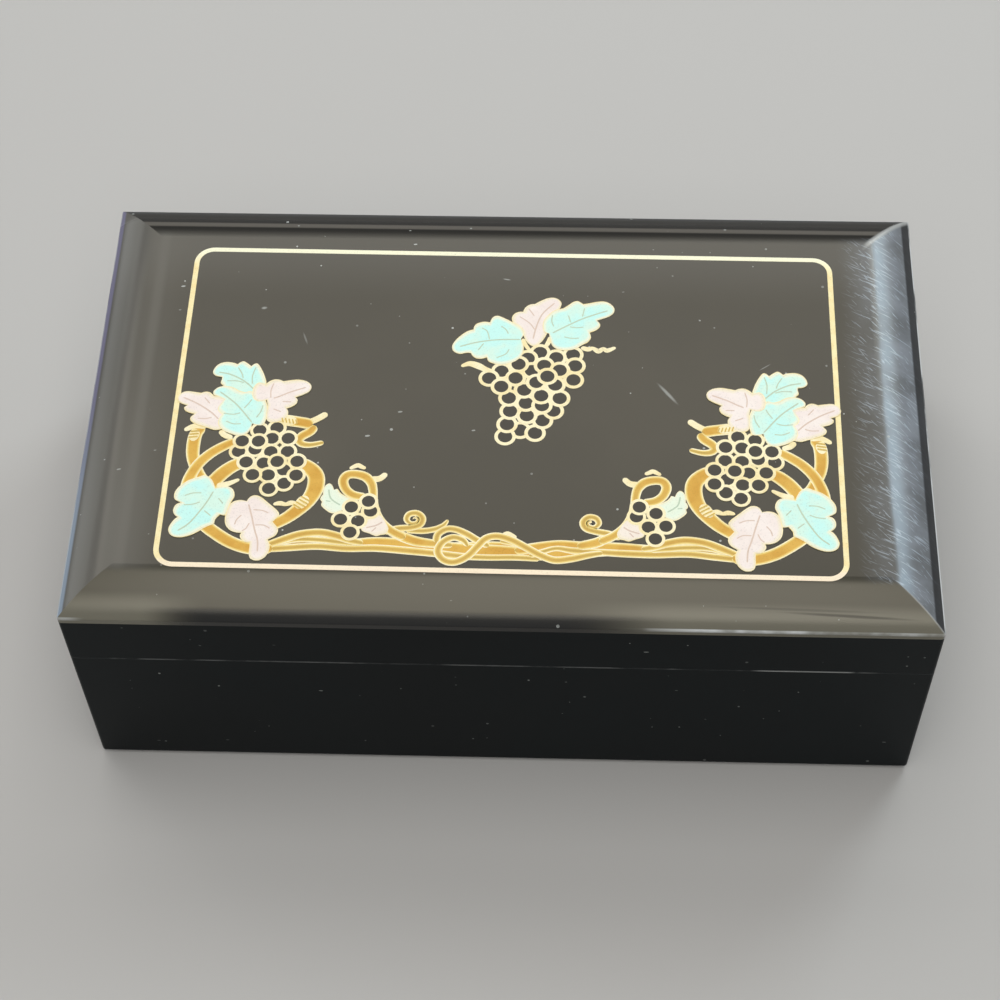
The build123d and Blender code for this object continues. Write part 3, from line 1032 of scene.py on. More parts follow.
SPRAY = Motif(
    name="left_spray",
    first_rank=28,
    strands=(
        Strand(((-85.2, -9.6, 3.0), (-87.2, -12, 3.8), (-87.6, -16.5, 3.9), (-87, -21, 3.6),
                (-85, -25.5, 3.2), (-82.5, -29, 3)), 1),
        Strand(((-84.5, -9.6, 1.8), (-87.8, -9.4, 1.8), (-90.7, -11, 1.3)), 2, inked=False),
        Strand(((-75.5, -14.2, 3), (-79.3, -16.4, 3.2), (-82.7, -19.1, 3.3), (-85.6, -22.8, 3.4),
                (-87.5, -27.5, 3.5), (-88.2, -32, 3.2)), 3),
        Strand(((-71.5, -21, 3.6), (-75.5, -22.8, 4.2), (-79.2, -26.4, 4.4), (-82.2, -31.5, 4.2),
                (-83.3, -38, 4), (-81.8, -42, 4), (-78.8, -44.8, 3.9), (-73.5, -48.2, 3.9),
                (-67.8, -50, 3.8), (-62, -49.7, 3.4)), 2),
        Strand(((-79.5, -29.6, 1.6), (-76.5, -28.9, 1.6), (-73.4, -27.3, 0.9)), 3, inked=False),
        Strand(((-59, -20.6, 3), (-55.2, -22.2, 4.2), (-52.3, -25.3, 4.8), (-52, -29.5, 4.9),
                (-53.5, -33.6, 4.5), (-56.4, -37.2, 4.2), (-60, -40.4, 3.8), (-66, -44, 3.4)), 1),
        Strand(((-67, -5.8, 3), (-62.5, -6.7, 3.7), (-58, -7.4, 3.7), (-54.5, -8.1, 3.8)), 3),
        Strand(((-65, -6.2, 2.6), (-62.5, -6.7, 3), (-59, -7.2, 2.6)), 4, inked=False),
        Strand(((-54.2, -32.4, 2.6), (-55.2, -34.4, 3.4), (-56.8, -36.4, 2.6)), 2, inked=False),
        Strand(((-87.4, -10.6, 2.4), (-87.7, -12.4, 3), (-88, -14.6, 2)), 2, inked=False),
        Strand(((-53.9, -8.4, 3), (-55, -10.5, 3), (-57.2, -12.2, 2.9), (-57.9, -13.7, 2.6),
                (-56.8, -14.9, 2.3), (-54.3, -15.1, 2), (-50.9, -14.2, 1.7)), 2),
        Strand(((-56, -7.6, 2), (-53, -5.9, 2), (-50.7, -4.1, 1.9)), 2, inked=False),
        Strand(((-63.2, -35.4, 0.8), (-61.4, -35, 1.5), (-59.8, -35.3, 1.2), (-58.2, -34.8, 1.6),
                (-56.4, -35.1, 0.9)), 2, inked=False),
        Strand(((-80.6, -10.9, 1.5), (-78.9, -12.5, 1.8), (-76.8, -13.1, 1.4)), 2, inked=False),
    ),
    grapes=(
        Grape(-64.5, -9.5, 4), Grape(-69.3, -10.5, 4), Grape(-61, -13.1, 6), Grape(-65.6, -13.2, 5),
        Grape(-69.3, -14.3, 8), Grape(-73.9, -14.3, 5), Grape(-74.6, -17.9, 4), Grape(-70, -17, 4),
        Grape(-65.5, -17.8, 5), Grape(-60.8, -17.6, 5), Grape(-57.8, -20.9, 6), Grape(-72.1, -21.5, 7),
        Grape(-67.2, -21.7, 5), Grape(-63.4, -21.1, 8), Grape(-61.3, -23.9, 4), Grape(-57.7, -25.6, 7),
        Grape(-69.9, -25.7, 6), Grape(-65.5, -25.7, 5), Grape(-60.8, -28.4, 6), Grape(-64.9, -30.2, 5),
    ),
    leaves=(
        Leaf(Slot.MINT, (
            ((-82, 8), (-83.7, 8.3), (-84.7, 9.4), (-84.4, 11.1), (-83.2, 12.6), (-81.3, 13.3),
             (-79.2, 13.1)),
            ((-77.9, 12.6), (-77.2, 13.3), (-76.3, 13.7), (-75.2, 13.1)),
            ((-73.9, 12), (-73.1, 12.8), (-72.3, 13), (-71.5, 12.2), (-70.4, 10.2), (-69.5, 8), (-69, 5.5),
             (-70.3, 1.5), (-75.8, 0.5), (-80.3, 3)),
            ((-81.2, 4.8), (-82.1, 5.8), (-81.9, 7.2)),
        ), (
            ((-83, 9.6), (-79.4, 8.8), (-75.4, 6.6), (-72.4, 3.8)),
            ((-77.6, 11.4), (-76.4, 9.4), (-75.8, 7.6)),
            ((-72.5, 11.6), (-73.2, 8.6), (-73, 5.6)),
            ((-80.4, 6.6), (-77.4, 6.6), (-75.4, 6)),
        ), 9),
        Leaf(Slot.PINK, (
            ((-90.8, -2.3), (-92.2, -1.9), (-93.5, -0.9), (-93.8, 0.5), (-93, 1.9), (-91.4, 2.6),
             (-89.2, 2.4)),
            ((-87.4, 2.1), (-86, 2.6), (-84.7, 2.3)),
            ((-83.6, 1.2), (-79.8, 0), (-78.8, -5), (-79.6, -9.6)),
            ((-80.6, -10.5), (-82.2, -10.7), (-84.1, -10.1), (-86.1, -9.4), (-88.1, -8.6), (-89.3, -7.6),
             (-89.4, -6.5)),
            ((-88.4, -5.3), (-90, -4.9), (-91.3, -4.1), (-91.6, -3.1)),
        ), (
            ((-92.2, 0.4), (-87.8, -1.8), (-83.8, -4.6), (-81.4, -7)),
            ((-87.4, -6.8), (-85.2, -6.9), (-83.4, -6.4)),
            ((-86.2, 0.6), (-84.4, -1.6)),
        ), 9),
        Leaf(Slot.PINK, (
            ((-69.2, 5.6), (-68.1, 6.7), (-66.7, 7.4), (-65.2, 7.3)),
            ((-64.1, 6.8), (-62.2, 7.2), (-60, 7.5), (-57.8, 7.1), (-56.4, 6.1), (-55.9, 4.8), (-56.5, 3.3),
             (-58.1, 2.2)),
            ((-60.2, 1.2), (-59.5, 0.3), (-59.8, -1.1), (-61.1, -2.2)),
            ((-62.4, -2.7), (-61.8, -3.9), (-62, -5.4), (-63.2, -7), (-65.3, -7.8), (-67.4, -7.2),
             (-68, -5), (-67.9, -2)),
            ((-68.3, 0.2), (-69.4, -0.4), (-71.1, -0.4), (-72.4, 0.8), (-72.7, 3), (-72.3, 5), (-71, 6.2)),
        ), (
            ((-57.4, 4.8), (-61.8, 3), (-64.6, 1.5), (-66.4, 0.7)),
            ((-66.8, 6), (-67.4, 3.4), (-67.2, 0.8)),
            ((-61.2, -0.4), (-63.8, -0.4)),
            ((-63.8, -4), (-66.2, -3)),
        ), 12),
        Leaf(Slot.MINT, (
            ((-80.3, 0), (-82.2, 0.9), (-83.7, 1.6), (-83.8, 2.9), (-82.6, 4.2), (-80.8, 4.7),
                (-78.6, 4.4)),
            ((-76.6, 3.2), (-74.8, 2.7), (-73, 3), (-69.8, 1.5), (-68.2, -1), (-67.7, -4), (-67.9, -6.8),
             (-68.6, -8.6), (-70.2, -8.8)),
            ((-71.7, -8.2), (-72, -10.2), (-72.9, -11.8), (-74.7, -12.6), (-76.8, -12.1), (-79, -11.2),
             (-80.6, -10), (-81.4, -8.4), (-81.2, -6.6)),
            ((-80.5, -5.3), (-81.5, -4.5), (-82, -3.3), (-81.5, -1.9)),
        ), (
            ((-82, 2.7), (-76.8, -1.7), (-71.7, -8)),
            ((-72.6, 0.2), (-73.4, -1.4), (-74.5, -3)),
            ((-69.2, -1.8), (-69.6, -4), (-70.7, -6.2)),
            ((-79.2, -7.6), (-77, -8.5), (-74.8, -8.4)),
            ((-80.2, -4.9), (-77.4, -5.2), (-75.4, -4.6)),
        ), 11),
        Leaf(Slot.MINT, (
            ((-79.8, -30.5), (-80.4, -28.9), (-81.4, -27.3), (-83.1, -26.2), (-85, -26.9), (-87.5, -28),
             (-89.5, -29.7), (-90.7, -31.5), (-91, -33.1), (-90.6, -34.5)),
            ((-88.8, -35.5), (-90, -36.1), (-90.6, -37.3), (-90.6, -38.7), (-89.9, -39.8)),
            ((-89.1, -40.3), (-90, -41.1), (-90.9, -42.7), (-91.3, -44.3), (-90.8, -45.8), (-89.5, -46.7),
             (-87.6, -46.9), (-85.4, -46.3), (-83.4, -45.2)),
            ((-81.5, -43.7), (-80.2, -42.9), (-79, -42.3), (-78.7, -40.8)),
            ((-77.6, -39.2), (-76, -39.3), (-75.4, -37), (-74.9, -35), (-74.2, -33.2), (-74.5, -31.4),
             (-75.5, -30.2), (-77.2, -29.8)),
        ), (
            ((-80.2, -31.6), (-82, -35.9), (-85.6, -42), (-88.7, -44.8)),
            ((-88, -33.2), (-85.8, -32.3), (-83.4, -32.2)),
            ((-88, -36.3), (-85.5, -36), (-83.5, -35.2)),
            ((-82.1, -38), (-80.1, -39.7)),
            ((-78.6, -33.8), (-77.1, -35.6)),
        ), 9),
        Leaf(Slot.PINK, (
            ((-70.6, -34.6), (-70, -33.4), (-69, -32.7), (-67.7, -32.7), (-66.3, -33.5), (-64.6, -35),
             (-63, -36.4), (-61.7, -37.7), (-61.3, -39)),
            ((-62.8, -41.2), (-62, -42.2), (-61.2, -43.2), (-61.1, -44.5), (-61.8, -45.8)),
            ((-63.6, -47), (-62.9, -48.8), (-63, -50.8), (-63.8, -52.5), (-65.1, -53.6), (-66.6, -53.8),
             (-67.9, -53.1), (-68.4, -51.5), (-68.4, -49.5)),
            ((-68.5, -47.9), (-69.7, -48), (-70.8, -47.2), (-71.4, -46.1)),
            ((-71.1, -45), (-72.6, -44.9), (-74.3, -44.2), (-75.6, -42.7), (-76.1, -40.6), (-75.9, -38.3),
             (-75.4, -36.2), (-74.2, -34.8), (-72.4, -34.3)),
        ), (
            ((-70, -35.6), (-68.8, -39.4), (-67.5, -44), (-66.4, -47.4), (-66.1, -51)),
            ((-68.5, -37.4), (-66, -37.6), (-64.2, -38.4)),
            ((-67.6, -42.4), (-65.2, -42.4), (-63.4, -43.4)),
            ((-71.6, -39.2), (-72.8, -40.8), (-73.2, -42.4)),
            ((-69.2, -41.8), (-70, -43.6), (-71, -44.4)),
        ), 10),
    ),
    knots=(
        ((-63.4, -6), (-62.9, -7.6)), ((-62.4, -6.1), (-61.9, -7.7)), ((-61.4, -6.3), (-60.9, -7.9)),
        ((-60.4, -6.4), (-59.9, -8)), ((-59.4, -6.5), (-58.9, -8.1)), ((-55.7, -32.6), (-53, -34.2)),
        ((-56.3, -33.5), (-53.6, -35.1)), ((-57, -34.4), (-54.3, -36)), ((-57.7, -35.2), (-55.2, -36.8)),
        ((-89, -11.4), (-86.2, -11)), ((-89.2, -12.4), (-86.4, -12)), ((-89.3, -13.4), (-86.6, -13)),
    ),
)

SMALL_BUNCH = Motif(
    name="left_small_bunch",
    first_rank=14,
    strands=(
        Strand(((-37.6, -32.2, 2.4), (-39.6, -32.1, 2.7), (-41.8, -31.4, 2.8), (-43.6, -29.6, 2.8),
                (-44.4, -27, 2.9), (-43.4, -25.1, 2.9), (-41.2, -24.7, 2.9), (-38.4, -25.5, 3),
                (-36.6, -27.5, 2.8),
                (-35.9, -30, 2.6), (-35.6, -33, 2.5), (-34.8, -36.6, 2.5), (-33, -40.2, 2.6),
                (-30, -43.2, 2.8),
                (-26, -45.4, 2.8)), 2),
        Strand(((-37, -26.4, 2.2), (-34.3, -26, 1.9), (-32.5, -24.2, 1.6)), 1, inked=False),
        Strand(((-42.9, -22.9, 0.9), (-41.6, -22.1, 1.3), (-40.6, -21.7, 1.4), (-39.6, -22.2, 1.3),
                (-38.4, -22.7, 0.9)), 1, inked=False),
        Strand(((-64, -48.9, 2.2), (-58.5, -46.4, 2.6), (-54.5, -44.9, 2.6), (-49.5, -44.3, 2.6),
                (-45, -45.2, 2.6),
                (-41, -46.6, 2.4), (-37.5, -47.4, 2)), 5),
        Strand(((-61, -48.2, 1.8), (-56, -46.7, 2), (-50, -46.6, 2), (-45, -47.1, 2), (-40, -47.7, 1.8)),
                4),
    ),
    grapes=(
        Grape(-36.9, -33.7, 7), Grape(-41.5, -35.7, 6), Grape(-44.2, -39.8, 6), Grape(-39.4, -40.2, 6),
        Grape(-36.1, -36.9, 5), Grape(-41.3, -44, 7),
    ),
    leaves=(
        Leaf(Slot.MINT, (
            ((-49.7, -31.8), (-49.7, -30.2), (-49.2, -28.7), (-48.2, -28), (-47.3, -28.7)),
            ((-46.7, -30.1), (-45.8, -29.8), (-45.2, -30.6)),
            ((-44.6, -31.3), (-43.2, -32.2), (-41.6, -33.4), (-42.8, -36), (-45.4, -37.6), (-47, -37.8),
             (-48.8, -36.6), (-49.9, -35.3)),
            ((-49.7, -34.2), (-50.3, -33.4), (-50.1, -32.4)),
        ), (
            ((-48.2, -30), (-47.4, -33), (-44.6, -35.2)),
            ((-48.8, -33.8), (-47.4, -34)),
        ), 3, 0.35),
        Leaf(Slot.PINK, (
            ((-38.4, -42.6), (-38.2, -40.8), (-36.8, -39.2)),
            ((-35.4, -38.6), (-33.8, -37.8), (-32.4, -39.3)),
            ((-31.4, -41), (-30.8, -42.6), (-31.4, -44.2)),
            ((-32.7, -44.6), (-34, -45), (-35.2, -44.6)),
            ((-36, -44.2), (-37, -43.9), (-38, -43.4)),
        ), (
            ((-37, -42.4), (-34.4, -41.6), (-32.6, -40.4)),
            ((-35.4, -43.6), (-34.2, -42.2)),
        ), 4, 0.6),
    ),
    grape_radius=2.7,
)

CENTRE_BUNCH = Motif(
    name="centre_bunch",
    strands=(
        Strand(((-13.4, 13.6, 0.9), (-11, 14.6, 1.8), (-8.6, 13.9, 2.2), (-6.6, 12.8, 1.8),
                (-4.5, 12, 1.4)), 1, inked=False),
        Strand(((21, 21.2, 1.4), (23, 20.6, 1.6), (24.4, 21, 1.2), (26, 20, 1.7), (27.4, 20.9, 1.2),
                (28.6, 20.3, 1.5), (31, 21.5, 0.9)), 1, inked=False),
        Strand(((4, 24, 1.2), (5, 21.6, 1.2), (6.2, 19.8, 1)), 1, inked=False),
        Strand(((12.2, 25, 1.4), (11.4, 22.6, 1.4), (10.2, 20.4, 1)), 1, inked=False),
    ),
    grapes=(
        Grape(9.2, 19.1, 3), Grape(13.9, 17.3, 4), Grape(18.7, 18.5, 3), Grape(5.7, 16.9, 3),
        Grape(3.1, 14.7, 5),
        Grape(10.5, 14.4, 5), Grape(15, 12.8, 5), Grape(19.4, 14.5, 4), Grape(7, 12.5, 4),
        Grape(-1.7, 12.1, 3),
        Grape(-5.2, 9.5, 4), Grape(2.4, 9.7, 6), Grape(11.5, 10.5, 8), Grape(8.4, 8.3, 6),
        Grape(19, 9.4, 6),
        Grape(13.8, 7.5, 6), Grape(-1.6, 6.6, 5), Grape(5, 5.5, 5), Grape(9.9, 3.6, 5), Grape(15.2, 2.8, 5),
        Grape(0.7, 2.6, 4), Grape(5.6, 0.9, 4), Grape(10.2, 0.2, 4), Grape(13.5, -1.6, 3),
        Grape(1.2, -2, 3),
        Grape(6, -3.4, 3), Grape(10.5, -5, 2), Grape(0.5, -6.6, 2), Grape(8.5, -9.4, 1),
        Grape(0.1, -10.8, 1),
        Grape(4.3, -8.5, 0),
    ),
    leaves=(
        Leaf(Slot.PINK, (
            ((3.8, 33.9), (2.8, 33.9), (1.5, 33.3), (0.7, 32), (0.8, 30.3), (2, 29)),
            ((3.6, 27), (4.4, 24.6), (5.6, 22.4), (7.2, 21.4), (9, 22.4), (10.6, 25), (12.2, 30),
             (14.2, 34.6)),
            ((14.8, 36), (15, 37.4), (14.2, 38.7), (12.6, 39.4), (10.8, 39.1), (8.9, 38.1)),
            ((7.2, 36.9), (5.9, 36.7), (4.5, 35.6)),
        ), (
            ((13, 37.4), (9.6, 33.4), (8, 29), (7, 24)),
            ((5.4, 35.2), (7.2, 32.4)),
            ((2.8, 32.2), (5.8, 29.8), (7.4, 27.4)),
        ), 2),
        Leaf(Slot.MINT, (
            ((-10.4, 27), (-12.1, 26.3), (-13.8, 24.9), (-15.3, 23.1), (-16.3, 21), (-15.9, 19),
             (-14.1, 18), (-12.1, 18.4)),
            ((-10.8, 18.4), (-10.3, 17.4), (-9.2, 16.5), (-7.6, 16.4)),
            ((-6.1, 16.9), (-5.6, 15.5), (-4, 14.7), (-1.6, 14.3), (0.8, 15), (2.9, 16.4), (4.1, 18.4),
             (4.4, 21)),
            ((3.5, 23.8), (4.3, 25.8), (3.7, 27.7), (2.4, 28.9), (0.6, 30.1), (-2, 31.6), (-3.7, 32.2),
             (-5, 31.5)),
            ((-5.7, 29.7), (-7.4, 29.9), (-9.3, 29.3), (-10.2, 28.2)),
        ), (
            ((-14.2, 20.6), (-8.8, 22.4), (-2.8, 23.4), (3.4, 23.6)),
            ((-8, 27.6), (-6.4, 26.4), (-5.6, 23.4)),
            ((-2.4, 28.4), (-1, 27.2), (-0.2, 25.6)),
            ((-3.4, 16.8), (-0.8, 18.2), (0.2, 20)),
            ((-8.8, 19.4), (-7.2, 22)),
        ), 10),
        Leaf(Slot.MINT, (
            ((11.6, 26), (10.2, 26.6), (9.7, 28.6), (10, 30.8), (11.2, 32.8), (12.9, 34.5)),
            ((15.5, 35.4), (16.9, 36.5), (18.4, 37.8), (19.8, 38.2)),
            ((21.4, 37.1), (23.2, 37.5), (25.6, 38.1), (27.7, 38.2), (29.5, 37.2), (30.5, 35.6),
             (30.2, 33.9), (28.8, 32.6), (27, 31.8)),
            ((25.4, 31.1), (26.3, 30), (26.3, 28.8), (25.2, 27.5)),
            ((23.4, 26.6), (23.8, 24.8), (22.9, 23.1), (21.2, 22), (19.4, 20.6), (17, 20), (14.6, 20.2),
             (12.8, 21.4), (12.1, 23.4)),
        ), (
            ((12.6, 26.2), (17.2, 29.2), (21.2, 31.6), (25.6, 33.6), (28.6, 34.8)),
            ((16, 24.9), (18, 24.4), (20.4, 24.5)),
            ((17.6, 28.6), (19.6, 28.3), (21.6, 28.6)),
            ((17.1, 32.8), (17.8, 30.2)),
            ((12.5, 32.8), (12.3, 30.6), (12.9, 28.6)),
            ((21.8, 35.6), (21.2, 32.4)),
        ), 10),
    ),
    grape_radius=3.05,
    grape_line=1.0,
)

VINE = Motif(
    name="vine",
    strands=(
        Strand(((-20, -48.6, 3.4), (-10, -48.6, 4.6), (0, -48.2, 4.6), (8, -48.9, 3.8), (16, -49, 4.4),
                (24, -48.4, 4), (34, -47.8, 3)), 1),
        Strand(((-64, -50, 2.2), (-58, -49.4, 2.3), (-50, -48.7, 2.3), (-42, -49.2, 2.3), (-34, -48.9, 2.4),
                (-26, -49.4, 2.5), (-17, -50.2, 2.4), (-10, -50.9, 2.2), (-3, -51.1, 2), (4, -50.9, 2),
                (11, -51.2, 1.8)), 3),
        Strand(((-64, -48.9, 2), (-57, -47.9, 2.4), (-50, -47.3, 2.4), (-42, -47.5, 2.6), (-34, -47.1, 3.6),
                (-26, -47.5, 3.8), (-17, -48.2, 4.2), (-8, -48.9, 4.2), (0, -48.9, 3.8), (8, -49.5, 3.4),
                (13, -50.5, 3)), 2),
        Strand(((-31, -42.8, 2.6), (-27.5, -44.7, 3.2), (-23, -46.4, 3.2), (-17.5, -47.1, 2.6),
                (-13, -47.4, 2)), 4),
        Strand(((-32, -43.8, 2), (-28.6, -42.5, 2.2), (-24.8, -42, 2.2), (-22.3, -41, 2.2),
                (-21.7, -38.9, 2.2),
                (-23.2, -37.3, 2.1), (-25.3, -37.6, 2), (-26, -39.3, 1.8), (-24.9, -40.6, 1.5),
                (-23.3, -40.3, 1.2), (-22.9, -39.1, 1), (-23.9, -38.5, 0.8)), 5),
        Strand(((-26, -42.8, 2), (-21.5, -43, 2), (-18, -42.3, 1.9), (-15.8, -41, 1.6),
                (-14.6, -39.2, 0.9)), 4),
        Strand(((-17.5, -46.6, 2.2), (-17.1, -44, 2.2), (-15, -42.3, 2.2), (-12.4, -42.3, 2.2),
                (-9.3, -43.7, 2.3),
                (-6.4, -45.6, 2.3), (-3, -47.5, 2)), 5),
        Strand(((-8.8, -47.6, 1.5), (-10.2, -45.7, 2), (-13, -44.9, 2.2), (-15.8, -46.6, 2.3),
                (-16.9, -49.6, 2.4),
                (-15.2, -52.2, 2.4), (-12.2, -52.8, 2.4), (-8.8, -50.9, 2.4), (-6.2, -47.7, 2.4),
                (-3.9, -45, 2.4),
                (-0.8, -44.2, 2.4), (3, -45.3, 2.4), (7, -47.6, 2.4), (11, -50, 2.4), (15, -51.5, 2.4),
                (19.5, -50.9, 2.4), (24, -49.7, 2.2), (28, -48.9, 1.8)), 6),
        Strand(((0.4, -43.9, 0.9), (1.8, -43.3, 1.5), (3.2, -44, 1.5), (4.4, -44.5, 0.9)), 5, inked=False),
        Strand(((0, -45.8, 1.6), (3.6, -46.4, 1.8), (6.6, -47.8, 1.6)), 4),
        Strand(((4, -48.8, 3), (10, -47.6, 3.4), (16, -46.7, 3.4), (21, -46.9, 3.4), (27, -47.1, 3.6),
                (34, -47.1, 3.2), (42, -47.3, 2.6), (50, -47.1, 2.4), (57, -47.7, 2.2), (65, -49, 2.2)), 2),
        Strand(((8, -50.3, 1.8), (12, -48.7, 1.8), (15.5, -47.7, 1.8), (20, -48.3, 2.2), (27, -48.6, 2.2),
                (34, -48.9, 2.4), (42, -49, 2.4), (51, -48.6, 2.3), (58, -49.3, 2.3), (65, -50, 2.3)), 3),
        Strand(((32, -42.6, 2.4), (29.2, -43.9, 3), (26, -45.7, 3.2), (21, -46.9, 2.8)), 4),
        Strand(((33, -44, 2), (29.6, -42.7, 2.2), (26, -42, 2.2), (23.3, -41, 2.2), (22.6, -39, 2.2),
                (24, -37.4, 2.1), (26, -37.7, 2), (26.8, -39.3, 1.8), (25.8, -40.6, 1.5),
                (24.2, -40.3, 1.2),
                (23.8, -39.1, 1), (24.8, -38.5, 0.8)), 5),
        Strand(((-24.3, -39.2, 3), (-23.9, -39.2, 3)), 4, inked=False),
        Strand(((24.5, -39.2, 3), (24.9, -39.2, 3)), 4, inked=False),
    ),
    dots=((-24, -39.5), (24.9, -39.5)),
)


@dataclass
class VinePrint:
    """The gold border and vine ornament printed on the lid. Sizes in metres, motifs in millimetres."""

    gold: bpy.types.Material
    edging: bpy.types.Material
    vine: bpy.types.Material
    mint: bpy.types.Material
    pink: bpy.types.Material
    dark: bpy.types.Material
    width: float = 187.4 * MM
    depth: float = 110.9 * MM
    corner: float = 5.0 * MM
    line: float = 1.5 * MM
    side_line: float = 2.0 * MM
    shift_x: float = 0.05 * MM
    shift_y: float = -3.0 * MM
    skew: float = -0.3
    mirror_axis: float = 0.5
    film: float = 0.03 * MM
    step: float = 0.004 * MM
    sunk: float = 0.15 * MM
    outline: float = 0.34 * MM
    leaf_edge: float = 0.3 * MM
    leaf_line: float = 0.5 * MM
    leaf_fade: float = 1.7 * MM
    leaf_lean: float = 0.8
    leaf_even: int = 6
    leaf_reach: float = 0.45
    leaf_shade: float = 0.45
    leaf_light: float = 0.2
    vein: float = 0.45 * MM
    side_vein: float = 0.8
    knot: float = 0.45 * MM
    dot: float = 0.32 * MM
    ink_above: float = 0.4
    vein_above: float = 0.7
    least_half: float = 0.02 * MM
    least_cap: float = 0.25
    samples: int = 7
    disc_segments: int = 28
    corner_segments: int = 10

    def placed(self, point: Vector) -> Vector:
        """Returns a point of the print, in metres, in the box's frame, on the lid's flat top."""
        turned = Matrix.Rotation(math.radians(self.skew), 3, "Z") @ point
        return turned + Vector((self.shift_x, self.shift_y, CAD_BOX[1].z))

    def top(self, rank: int, above: float = 0.0) -> float:
        """Returns the height of the rank-th item of a motif over the lid's top."""
        return self.film + (rank + above) * self.step

    def raise_faces(self, mesh: bmesh.types.BMesh, faces: list, height: float) -> list:
        """Turns flat faces into a film that starts just under the lid's top.

        Args:
            mesh: The mesh that holds the faces, in the print's frame.
            faces: Flat faces at z = 0.
            height: The film's height over the lid's top.

        Returns:
            The film's vertices.
        """
        bmesh.ops.recalc_face_normals(mesh, faces=faces)
        for face in faces:
            if face.normal.z > 0:
                face.normal_flip()
        grown = bmesh.ops.extrude_face_region(mesh, geom=faces)["geom"]
        upper = [item for item in grown if isinstance(item, bmesh.types.BMVert)]
        lower = {vert for face in faces for vert in face.verts}
        bmesh.ops.translate(mesh, verts=upper, vec=(0, 0, height))
        bmesh.ops.translate(mesh, verts=list(lower), vec=(0, 0, -self.sunk))
        return [*upper, *lower]

    def smooth(self, points: tuple) -> list[Vector]:
        """Draws a smooth line through points with x, y and width.

        Args:
            points: The points, in millimetres. Their width may be left out.

        Returns:
            Points along the line, in metres, with the width as z.
        """
        knots = [Vector((*p, 0.0)[:3]) * MM for p in points]
        line = []
        for index in range(len(knots) - 1):
            around = (max(0, min(len(knots) - 1, index + offset)) for offset in (-1, 0, 1, 2))
            before, start, end, after = (knots[place] for place in around)
            handles = (start, start + (end - before) / 6, end - (after - start) / 6, end)
            line.extend(geometry.interpolate_bezier(*handles, self.samples + 1)[:-1])
        return [*line, knots[-1]]

    def lay_strand(self, mesh: bmesh.types.BMesh, points: tuple, inset: float, height: float) -> list:
        """Lays a ribbon with round ends along a smooth line.

        Args:
            mesh: The mesh to add to.
            points: Points with x, y and width, in millimetres.
            inset: How far the ribbon's edge lies inside the strand's.
            height: The ribbon's height over the lid's top.

        Returns:
            The ribbon's vertices.
        """
        line = self.smooth(points)
        run = [0.0]
        for start, end in zip(line, line[1:]):
            run.append(run[-1] + (end.xy - start.xy).length)
        last = len(line) - 1
        made = bmesh.ops.create_grid(mesh, x_segments=last, y_segments=1, size=0.5)["verts"]
        coordinates = mesh.loops.layers.uv.verify()
        for vert in made:
            index = round((vert.co.x + 0.5) * last)
            ahead = (line[min(index + 1, last)] - line[max(index - 1, 0)]).xy.normalized()
            half = max(line[index].z / 2 - inset, self.least_half)
            end_gap = min(run[index], run[-1] - run[index])
            cap = math.sqrt(max(0.0, 1 - max(0.0, 1 - end_gap / half) ** 2)) if end_gap < half else 1.0
            side = math.copysign(half * max(cap, self.least_cap), vert.co.y)
            for loop in vert.link_loops:
                loop[coordinates].uv = (2 * abs(side) / MM, 0.5 + math.copysign(0.5, side))
            vert.co = Vector((line[index].x - ahead.y * side, line[index].y + ahead.x * side, 0))
        faces = list({face for vert in made for face in vert.link_faces})
        return self.raise_faces(mesh, faces, height)

    def inset(self, mesh: bmesh.types.BMesh, faces: list, width: float) -> list:
        """Returns the new faces of an even inset along the faces' outline."""
        options = {"use_boundary": True, "use_even_offset": True}
        return bmesh.ops.inset_region(mesh, faces=faces, thickness=width, **options)["faces"]

    def lay_disc(
        self, mesh: bmesh.types.BMesh, grape: Grape, radius: float, line: float, height: float
    ) -> None:
        """Lays a grape's ring, or its dark inside.

        Args:
            mesh: The mesh to add to.
            grape: The grape.
            radius: The disc's radius.
            line: The ring's width, or 0 for a full disc.
            height: The disc's height over the lid's top.
        """
        place = Matrix.Translation((grape.x * MM, grape.y * MM, 0))
        rim = bmesh.ops.create_circle(
            mesh, cap_ends=True, radius=radius, segments=self.disc_segments, matrix=place
        )["verts"]
        faces = list(rim[0].link_faces)
        if line:
            ring = self.inset(mesh, faces, line)
            bmesh.ops.delete(mesh, geom=faces, context="FACES_ONLY")
            faces = ring
        self.raise_faces(mesh, faces, height)

    def leaf_outline(self, leaf: Leaf) -> list[Vector]:
        """Draws a leaf's outline lobe by lobe.

        Args:
            leaf: The leaf.

        Returns:
            Points along the outline, in metres.
        """
        edge = []
        for lobe, following in zip(leaf.lobes, [*leaf.lobes[1:], leaf.lobes[0]]):
            edge.extend(self.smooth((*lobe, following[0]))[:-1])
        return edge

